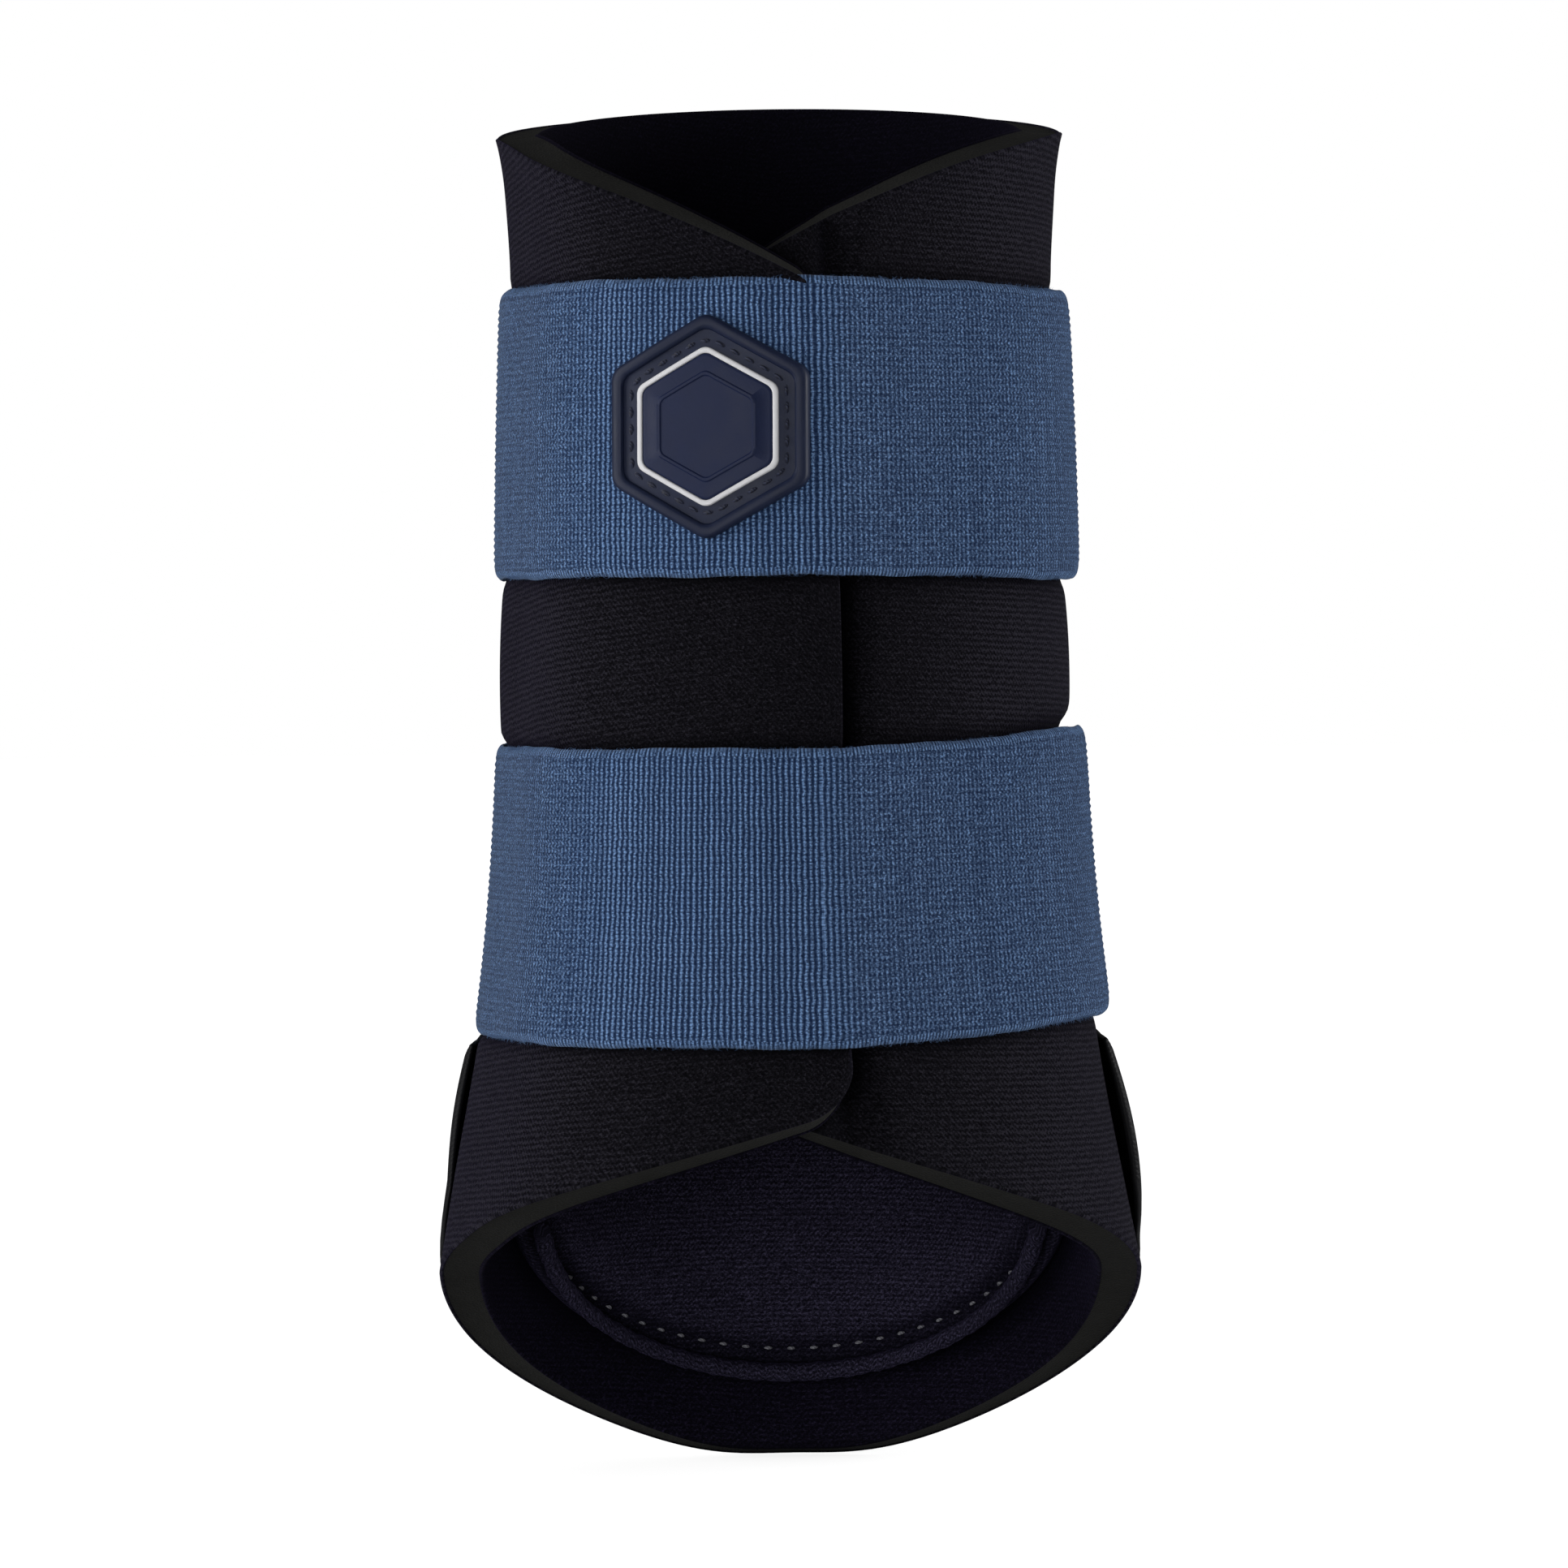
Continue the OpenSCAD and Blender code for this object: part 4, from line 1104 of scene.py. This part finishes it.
path = evenly(inset_path(guard_line[:-1], SEW_INSET), STITCH)
t = 180 + np.degrees(path[:, 0] / FLAT_R)
off = SEAT + guard_skin(np.abs(t - 180)) - 0.45 + THREAD_R * 0.5 + wing_bow(t - 180, path[:, 1])
spots = at(t, path[:, 1], off)
sewn = stitch_tubes("guard_thread", spots[:-1], spots[1:], away_from_leg(t)[:-1], THREAD_R * MM)
finished(sewn, grey_thread, "thread", "guard_stitches")
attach(sewn, "boot_back")
print("guard thread:", len(spots) - 1, "stitches")

# %% [markdown]
# ## The tendon pad
# Inside the back lies a pad of soft foam under its own lining. Its lower edge is rolled and sewn
# through, which leaves a valley with small pale stitches and a round fold below it. These show in the
# open cup and tell a reader at once that the boot is padded. The broad form and the valley are formulas,
# like the wrap's, because they have to follow its inner face.

# %% The pad's form
PAD_T, PAD_SWELL, SWELL_RUN = 4, 2.5, 60  # its thickness, and how much fuller it is near its low edge
PAD_LOW_Z, PAD_CLIMB, PAD_TOP_Z, PAD_HALF, PAD_CORNER = -96, 28, 88, 75, 18
PAD_SEW, SEW_PITCH = 2.2, 3.8


def pad_low(b):
    """Height of the pad's lower edge, b degrees from the middle of the back."""
    return PAD_LOW_Z + PAD_CLIMB * (b / PAD_HALF) ** 2


def pad_high(b):
    """Height of its upper edge."""
    return PAD_TOP_Z - corner_cut(np.radians(PAD_HALF - b) * WAIST_R, PAD_CORNER)


def pad_depth(b, z):
    """Its thickness before it is sewn."""
    return PAD_T + PAD_SWELL * ease((pad_low(b) + SWELL_RUN - z) / SWELL_RUN)


def pad_face(b, z):
    """Depth of the sewn pad's face under the wrap: full in the middle, drawn in along the seam."""
    above = z - pad_low(b) - PAD_SEW
    seam = 0.55 * np.exp(-np.maximum(above, 0) / 3.4)
    sides = np.exp(-(PAD_HALF - b) * 0.75 / 4)
    return WRAP_T + SEAT + pad_depth(b, z) * (1 - seam) * (1 - 0.35 * sides) + LINING_T


print("pad:", round(float(pad_face(0, PAD_LOW_Z + 20) - WRAP_T), 1), "mm deep just above its sewn line")

# %% [markdown]
# The cover of a sewn pad is never quite smooth: it is cut a little larger than its foam and puffs up
# between the seams. Waves could only imitate that, while Blender's cloth solver finds it. A coarse copy
# of the cover is held along its seams, given some spare cloth and a little air behind it, and left to
# settle for twenty frames. How far each point came forward is kept as a map of pushes, made smaller so
# that none passes one and a half millimetres, and the copy is thrown away. The fine mesh then takes the
# pushes, faded out towards the sewn line.

# %% Let the cover settle
COVER_COLUMNS, COVER_ROWS, COVER_FRAMES = 41, 45, 20
SPARE_CLOTH, MOST_PUFF, SMOOTHINGS = 0.05, 1.5, 6


def cover_grid(b, share):
    """Heights at each angle b and each share of the way from the low edge to the high one."""
    lo, hi = pad_low(np.abs(b))[:, None], pad_high(np.abs(b))[:, None]
    return lo + (hi - lo) * share[None, :]


def cover_trial():
    """The coarse cover with its cloth settings, and where its points start."""
    b, share = np.linspace(-PAD_HALF, PAD_HALF, COVER_COLUMNS), np.linspace(0, 1, COVER_ROWS)
    z = cover_grid(b, share)
    depth = WRAP_T + SEAT + LINING_T + pad_depth(np.abs(b)[:, None], z)
    start = at(180 + b[:, None] + 0 * z, z, -depth).reshape(-1, 3)
    grid = np.arange(len(start)).reshape(z.shape)
    quads = np.stack([grid[:-1, :-1], grid[:-1, 1:], grid[1:, 1:], grid[1:, :-1]], -1).reshape(-1, 4)
    trial = mesh_piece("cover_trial", start, quads)
    seams = trial.vertex_groups.new(name="seams")
    rim = np.concatenate([grid[0], grid[-1], grid[:, 0], grid[:, -1]])
    seams.add(rim.tolist(), 1.0, "REPLACE")
    cloth = trial.modifiers.new("cover", "CLOTH")
    cloth.settings.vertex_group_mass = seams.name
    cloth.settings.use_pressure = True
    cloth.settings.uniform_pressure_force = 1
    cloth.settings.shrink_min = -SPARE_CLOTH
    cloth.settings.effector_weights.gravity = 0
    cloth.point_cache.frame_end = COVER_FRAMES
    return trial, start


def settled_cover():
    """How far the cover puffs up, in mm, over an even grid of angles and shares of the height."""
    trial, start = cover_trial()
    for number in range(1, COVER_FRAMES + 1):
        bpy.context.scene.frame_set(number)
    settled = trial.evaluated_get(bpy.context.evaluated_depsgraph_get()).to_mesh()
    end = np.empty(start.size)
    settled.vertices.foreach_get("co", end)
    end = end.reshape(-1, 3)
    came_in = (np.hypot(start[:, 0], start[:, 1]) - np.hypot(end[:, 0], end[:, 1])) / MM
    bpy.data.objects.remove(trial)
    bpy.context.scene.frame_set(1)
    most = float(np.abs(came_in).max())
    print("cover settled, most:", round(most, 2), "mm, scaled to", min(most, MOST_PUFF), "mm")
    return (came_in * min(1, MOST_PUFF / most)).reshape(COVER_COLUMNS, COVER_ROWS)


def spread_out(coarse, b, share):
    """The coarse map read at every point of the fine grid, then smoothed a little."""
    coarse_b, coarse_share = (np.linspace(first, 1, n) for first, n in ((-1, COVER_COLUMNS), (0, COVER_ROWS)))
    rows = np.stack([np.interp(share, coarse_share, line) for line in coarse])
    fine = np.stack([np.interp(b / PAD_HALF, coarse_b, line) for line in rows.T], axis=1)
    for _ in range(SMOOTHINGS):
        fine[1:-1] = (fine[:-2] + 2 * fine[1:-1] + fine[2:]) / 4
        fine[:, 1:-1] = (fine[:, :-2] + 2 * fine[:, 1:-1] + fine[:, 2:]) / 4
    return fine


# %% [markdown]
# The pad itself is one closed sheet, thick in the middle and drawn in along its seam. The fold below it
# could be part of the same sheet, but the fold turns back on itself, which a grid of heights can't say.
# So it is a tube along the pad's lower edge, with a radius that swells and thins a little.

# %% The pad and the fold
FOLD_R, ROLL_R = 1.5, 42  # the fold's own radius, and about how far it lies from the leg's axis


def pad_mesh():
    """The pad, its rows closer together near the sewn line."""
    b = np.linspace(-PAD_HALF, PAD_HALF, 111)
    share = np.linspace(0, 1, 150) ** 1.3
    z = cover_grid(b, share)
    above = z - pad_low(np.abs(b))[:, None]
    puff = spread_out(settled_cover(), b, share) * ease((above - PAD_SEW) / 8)
    depth = pad_face(np.abs(b)[:, None], z) + puff
    return sheet_solid("tendon_pad_body", 180 + b, z, -WRAP_T - SEAT + 0 * z, -depth, (1.2, 8),
                       rim_width=PAD_T)


def fold_mesh():
    """The rolled edge, with its knit wrapped round the tube."""
    b = np.linspace(-PAD_HALF + 2, PAD_HALF - 2, 140)
    z = pad_low(np.abs(b)) - FOLD_R - GAP * 0.3
    off = -WRAP_T - SEAT - pad_depth(np.abs(b), pad_low(np.abs(b))) - LINING_T + FOLD_R
    turn = np.linspace(0, 2 * np.pi, 20, endpoint=False)
    plump = 1 + 0.07 * np.sin(b * 1.9) + 0.05 * np.sin(b * 0.83)
    r = FOLD_R * plump[:, None]
    tt = 180 + b[:, None] + 0 * turn[None, :]
    ring = at(tt, z[:, None] + r * np.sin(turn), off[:, None] + r * np.cos(turn))
    grid = np.arange(ring[..., 0].size).reshape(ring.shape[:2])
    nxt = np.roll(grid, -1, axis=1)
    walls = np.stack([grid[:-1], grid[1:], nxt[1:], nxt[:-1]], -1).reshape(-1, 4)
    faces = walls.tolist() + [grid[0].tolist(), grid[-1][::-1].tolist()]
    around = np.radians(tt) * ROLL_R
    cloth = np.stack([around, z[:, None] + r * turn[None, :], 0 * tt], -1).reshape(-1, 3)
    return mesh_piece("tendon_pad_roll", ring.reshape(-1, 3), faces, cloth)


pad = pad_mesh()
finished(pad, pad_knit, "lining", "tendon_pad_foam", "tendon_pad_cover")
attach(pad, "boot_back")
fold = fold_mesh()
finished(fold, pad_knit, "lining", "tendon_pad_fold")
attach(fold, "boot_back")
print("pad:", len(pad.data.polygons), "faces, fold:", len(fold.data.polygons), "faces")

# %% The pad's stitches
b = np.linspace(-PAD_HALF + 1.5, PAD_HALF - 1.5, 200)
line = np.stack([180 + b, pad_low(np.abs(b)) + PAD_SEW], axis=1)
starts, ends, outward = row_on(line, lambda t, z: -pad_face(np.abs(t - 180), z) - 0.35, SEW_PITCH)
sewn = stitch_tubes("pad_thread", starts, ends, -outward, THREAD_R * MM, share=0.34)
finished(sewn, pale_thread, "thread", "tendon_pad_stitches")
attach(sewn, "boot_back")
print("pad thread:", len(starts), "stitches")

# %% [markdown]
# ## The moulded badge
# A soft rubber patch is sewn on the upper strap through a groove inside its raised border. Bevels on a
# cut-out plate could round its shoulders, but each moulding would need its own cut. A badge like this
# is easier as a stack of rings: each ring is the same hexagon, drawn in by some distance and lifted by
# some height. Joining ring to ring gives crisp mouldings with rounded shoulders.

# %% Rings of a hexagon
BADGE_H, BADGE_W, BADGE_T, BADGE_TURN = 35, 31, 1.1, -13


def corner_arc(before, tip, after, r, steps=8):
    """The rounded corner at tip, as points from the side of before to the side of after."""
    u, v = (before - tip) / np.linalg.norm(before - tip), (after - tip) / np.linalg.norm(after - tip)
    half = math.acos(float(u @ v)) / 2
    swing = math.pi - 2 * half
    centre = tip + (u + v) / np.linalg.norm(u + v) * r / math.sin(half)
    start, end = (tip + way * r / math.tan(half) - centre for way in (u, v))
    share = np.linspace(0, 1, steps)[:, None]
    return centre + (np.sin((1 - share) * swing) * start + np.sin(share * swing) * end) / math.sin(swing)


def ring_points(inset, per_side=9):
    """The badge's hexagon drawn in by inset: six rounded corners and the sides between them."""
    w, h = BADGE_W / 2 - inset, BADGE_H / 2 - 1.15 * inset
    tips = np.array([[0, h], [-w, h / 2], [-w, -h / 2], [0, -h], [w, -h / 2], [w, h / 2]])
    r = max(0.5, 2.6 - 0.15 * inset)
    arcs = [corner_arc(tips[k - 1], tips[k], tips[(k + 1) % 6], r) for k in range(6)]
    share = np.linspace(0, 1, per_side + 1)[1:-1, None]
    sides = [arc[-1] + (after[0] - arc[-1]) * share for arc, after in zip(arcs, arcs[1:] + arcs[:1])]
    return np.concatenate([part for pair in zip(arcs, sides) for part in pair])


print("badge's ring:", len(ring_points(0)), "points")


# %% Mouldings from rings
def on_badge(flat, height):
    """Points laid on the upper strap's face, at a height above it, turned to the badge's place."""
    face = LIFT + GAP + STRAP_T + GAP / 3
    x, z = flat[:, 0], UPPER_Z + flat[:, 1]
    r = wrap_radius(z) + face + height
    y = -np.sqrt(r * r - x * x)
    c, s = math.cos(math.radians(BADGE_TURN)), math.sin(math.radians(BADGE_TURN))
    return np.stack([x * c - y * s, x * s + y * c, z], axis=1) * MM


def moulded_rings(name, profile, closed_ring=False):
    """profile: (inset, height) pairs from the foot of the outer wall inwards.
    A closed ring has a hole in its middle. Any other moulding is closed above and below."""
    rings = [on_badge(ring_points(inset), height) for inset, height in profile]
    size = len(rings[0])
    points = list(rings)
    index = np.arange(len(rings) * size).reshape(len(rings), size)
    pairs = list(zip(index, index[1:])) + ([(index[-1], index[0])] if closed_ring else [])
    faces = []
    for outer, inner in pairs:
        o2, i2 = np.roll(outer, -1), np.roll(inner, -1)
        faces += np.stack([outer, inner, i2, o2], axis=1)[:, ::-1].tolist()
    if not closed_ring:
        points += [on_badge(np.zeros((1, 2)), profile[-1][1]), on_badge(np.zeros((1, 2)), profile[0][1])]
        top, foot = len(rings) * size, len(rings) * size + 1
        last, first = index[-1], index[0]
        faces += [[a, b, top] for a, b in zip(last, np.roll(last, -1))]
        faces += [[b, a, foot] for a, b in zip(first, np.roll(first, -1))]
    return mesh_piece(name, np.concatenate(points), faces, sharp=42)


# %% [markdown]
# Soft rubber is matt, with a fine grain from its mould and a trace of dust that changes both colour and
# gloss. One recipe makes all three colours: the navy border, the navy field and the off-white line.

# %% Moulded rubber
def moulded_rubber(name, dark, light, rough):
    made, tree, shader = surface(name, rough, 0.22)
    place = object_place(tree)
    grain = speckle(tree, place, 3000, 2)
    dust = speckle(tree, place, 300, 3)
    tree.links.new(blend_colour(tree, dust, dark, light), shader.inputs["Base Color"])
    tree.links.new(calc(tree, "MULTIPLY_ADD", dust, 0.2, rough - 0.1), shader.inputs["Roughness"])
    raised(tree, shader, grain, 0.02)
    return made


navy = moulded_rubber("navy_rubber", (0.005, 0.009, 0.028), (0.012, 0.018, 0.048), 0.5)
field_navy = moulded_rubber("field_rubber", (0.006, 0.011, 0.040), (0.010, 0.017, 0.056), 0.55)
white_line = moulded_rubber("off_white_rubber", (0.66, 0.66, 0.68), (0.80, 0.80, 0.82), 0.5)
print("rubbers:", navy.name, field_navy.name, white_line.name)

# %% The badge's mouldings
FLOOR, BORDER, LINE = BADGE_T, BADGE_T + 0.9, BADGE_T + 0.8
base = moulded_rings("badge_plate", [
    (0, 0), (0, 1.2), (0.08, 1.65), (0.3, 1.9), (0.6, BORDER), (1.3, BORDER), (1.65, 1.9), (1.9, 1.6),
    (2.0, FLOOR), (3.2, FLOOR - 0.1), (4.4, FLOOR), (8, FLOOR)])
outline = moulded_rings("badge_outline_line", [
    (4.4, FLOOR - 0.2), (4.4, 1.7), (4.5, 1.84), (4.65, LINE), (4.95, LINE), (5.1, 1.84), (5.2, 1.7),
    (5.2, FLOOR - 0.2)], closed_ring=True)
field = moulded_rings("badge_field_plate", [
    (5.25, FLOOR - 0.2), (5.25, 1.5), (5.4, 1.66), (5.7, 1.7), (7.6, 1.7), (7.8, 1.92), (8.15, 1.92),
    (8.35, 1.7), (11, 1.7)])
finished(base, navy, "badge", "badge_base")
finished(outline, white_line, "badge_line", "badge_outline")
finished(field, field_navy, "badge", "badge_field")

# %% The badge's stitches
GROOVE_INSET, GROOVE_STITCH, BADGE_THREAD_R = 3.2, 2.6, 0.32
groove = ring_points(GROOVE_INSET)
marks = evenly(np.concatenate([groove, groove[:1]]), GROOVE_STITCH)
spots = on_badge(marks, FLOOR - 0.004)
turned = math.radians(BADGE_TURN)
outward = np.tile([[math.sin(turned), -math.cos(turned), 0]], (len(spots) - 1, 1))
sewn = stitch_tubes("badge_thread", spots[:-1], spots[1:], outward, BADGE_THREAD_R * MM)
finished(sewn, dark_thread, "badge", "badge_stitches")
for piece in (base, outline, field, sewn):
    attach(piece, "left_panel")
print("badge:", len(base.data.polygons), "faces,", len(marks) - 1, "stitches")

# %% [markdown]
# ## Floor, light and camera
# The boot stands alone on white. A bright world would give that, but it would also wash out dark cloth.
# So the world is white only to the camera and mild to everything else, and three soft lamps light the
# boot: one at each side and one in front. Nothing here is metal or glass, so no mirror image of the
# white room is needed. The floor glows to the camera, a little less close to the boot than far away,
# so that it meets the white behind it and still takes a soft shadow.

# %% The floor
FLOOR_REACH, FLOOR_DROP = 6.0, 0.0005


def white_floor():
    made = bpy.data.materials.new("white_floor")
    made.use_nodes = True
    tree = made.node_tree
    tree.nodes.clear()
    out = tree.nodes.new("ShaderNodeOutputMaterial")
    paint = tree.nodes.new("ShaderNodeBsdfDiffuse")
    paint.inputs["Color"].default_value = (0.8, 0.8, 0.8, 1)
    glow = tree.nodes.new("ShaderNodeEmission")
    ray = tree.nodes.new("ShaderNodeLightPath")
    reach = tree.nodes.new("ShaderNodeVectorMath")
    reach.operation = "LENGTH"
    tree.links.new(object_place(tree), reach.inputs[0])
    far = between(tree, reach.outputs["Value"], 0.2, 0.7, 0.82, 1.0)
    tree.links.new(calc(tree, "MULTIPLY", ray.outputs["Is Camera Ray"], far), glow.inputs["Strength"])
    both = tree.nodes.new("ShaderNodeAddShader")
    tree.links.new(paint.outputs[0], both.inputs[0])
    tree.links.new(glow.outputs[0], both.inputs[1])
    tree.links.new(both.outputs[0], out.inputs["Surface"])
    return made


floor_mesh = bpy.data.meshes.new("studio_floor")
floor_z = cad_box[0].z - FLOOR_DROP
corners = [(x * FLOOR_REACH, y * FLOOR_REACH, floor_z) for x, y in ((-1, -1), (1, -1), (1, 1), (-1, 1))]
floor_mesh.from_pydata(corners, [], [(0, 1, 2, 3)])
floor = bpy.data.objects.new("studio_floor", floor_mesh)
bpy.context.scene.collection.objects.link(floor)
floor_mesh.materials.append(white_floor())
print("floor at", round(floor_z, 4), "m")

# %% The world and the lamps
WORLD_LIGHT = 0.12
world = bpy.data.worlds.new("studio_world")
bpy.context.scene.world = world
world.use_nodes = True
sky = world.node_tree.nodes["Background"]
sky.inputs["Color"].default_value = (1, 1, 1, 1)
ray = world.node_tree.nodes.new("ShaderNodeLightPath")
level = calc(world.node_tree, "MULTIPLY_ADD", ray.outputs["Is Camera Ray"], 1 - WORLD_LIGHT, WORLD_LIGHT)
world.node_tree.links.new(level, sky.inputs["Strength"])


def lamp(name, place, size, power):
    """A round area lamp that faces the boot. size in metres, power in watts."""
    data = bpy.data.lights.new(name, "AREA")
    data.shape, data.size, data.energy = "DISK", size, power
    made = bpy.data.objects.new(name, data)
    made.location = place
    made.rotation_mode = "QUATERNION"
    made.rotation_quaternion = (Vector((0, 0, 0)) - Vector(place)).to_track_quat("-Z", "Y")
    bpy.context.scene.collection.objects.link(made)


lamp("left_softbox", (-1.25, -0.45, 0.15), 0.8, 11)
lamp("right_softbox", (1.3, 0.08, 0.1), 0.8, 12.6)
lamp("front_softbox", (-0.35, -1.7, 0.05), 0.7, 11.6)

# %% [markdown]
# The camera stands a little above the middle of the boot, more than a metre away, with a long lens that
# keeps the cup from looking too large. It aims at the boot's middle and is turned by a trace, since a
# camera held level by hand never is quite level.

# %% The camera
EYE_X, EYE_Z, DISTANCE, LENS = -0.0002, 0.0297, 1.15, 164.8
AIM_Z, ROLL = 0.0016, -0.6
camera_data = bpy.data.cameras.new("camera")
camera_data.lens, camera_data.sensor_width = LENS, 36
camera = bpy.data.objects.new("camera", camera_data)
camera.location = (EYE_X, -DISTANCE, EYE_Z)
look = Vector((EYE_X, 0, AIM_Z)) - camera.location
roll = Quaternion((0, 0, 1), math.radians(ROLL))
camera.rotation_mode = "QUATERNION"
camera.rotation_quaternion = look.to_track_quat("-Z", "Y") @ roll
bpy.context.scene.collection.objects.link(camera)
bpy.context.scene.camera = camera
bpy.context.scene.view_settings.view_transform = "Standard"
print("camera:", LENS, "mm lens,", round(look.length, 3), "m from its aim")

# %% [markdown]
# ## The construction's size
# The dressed boot has to stay the size of its construction.

# %% The construction's box
print("CAD box", [round(v, 4) for c in cad_box for v in c])
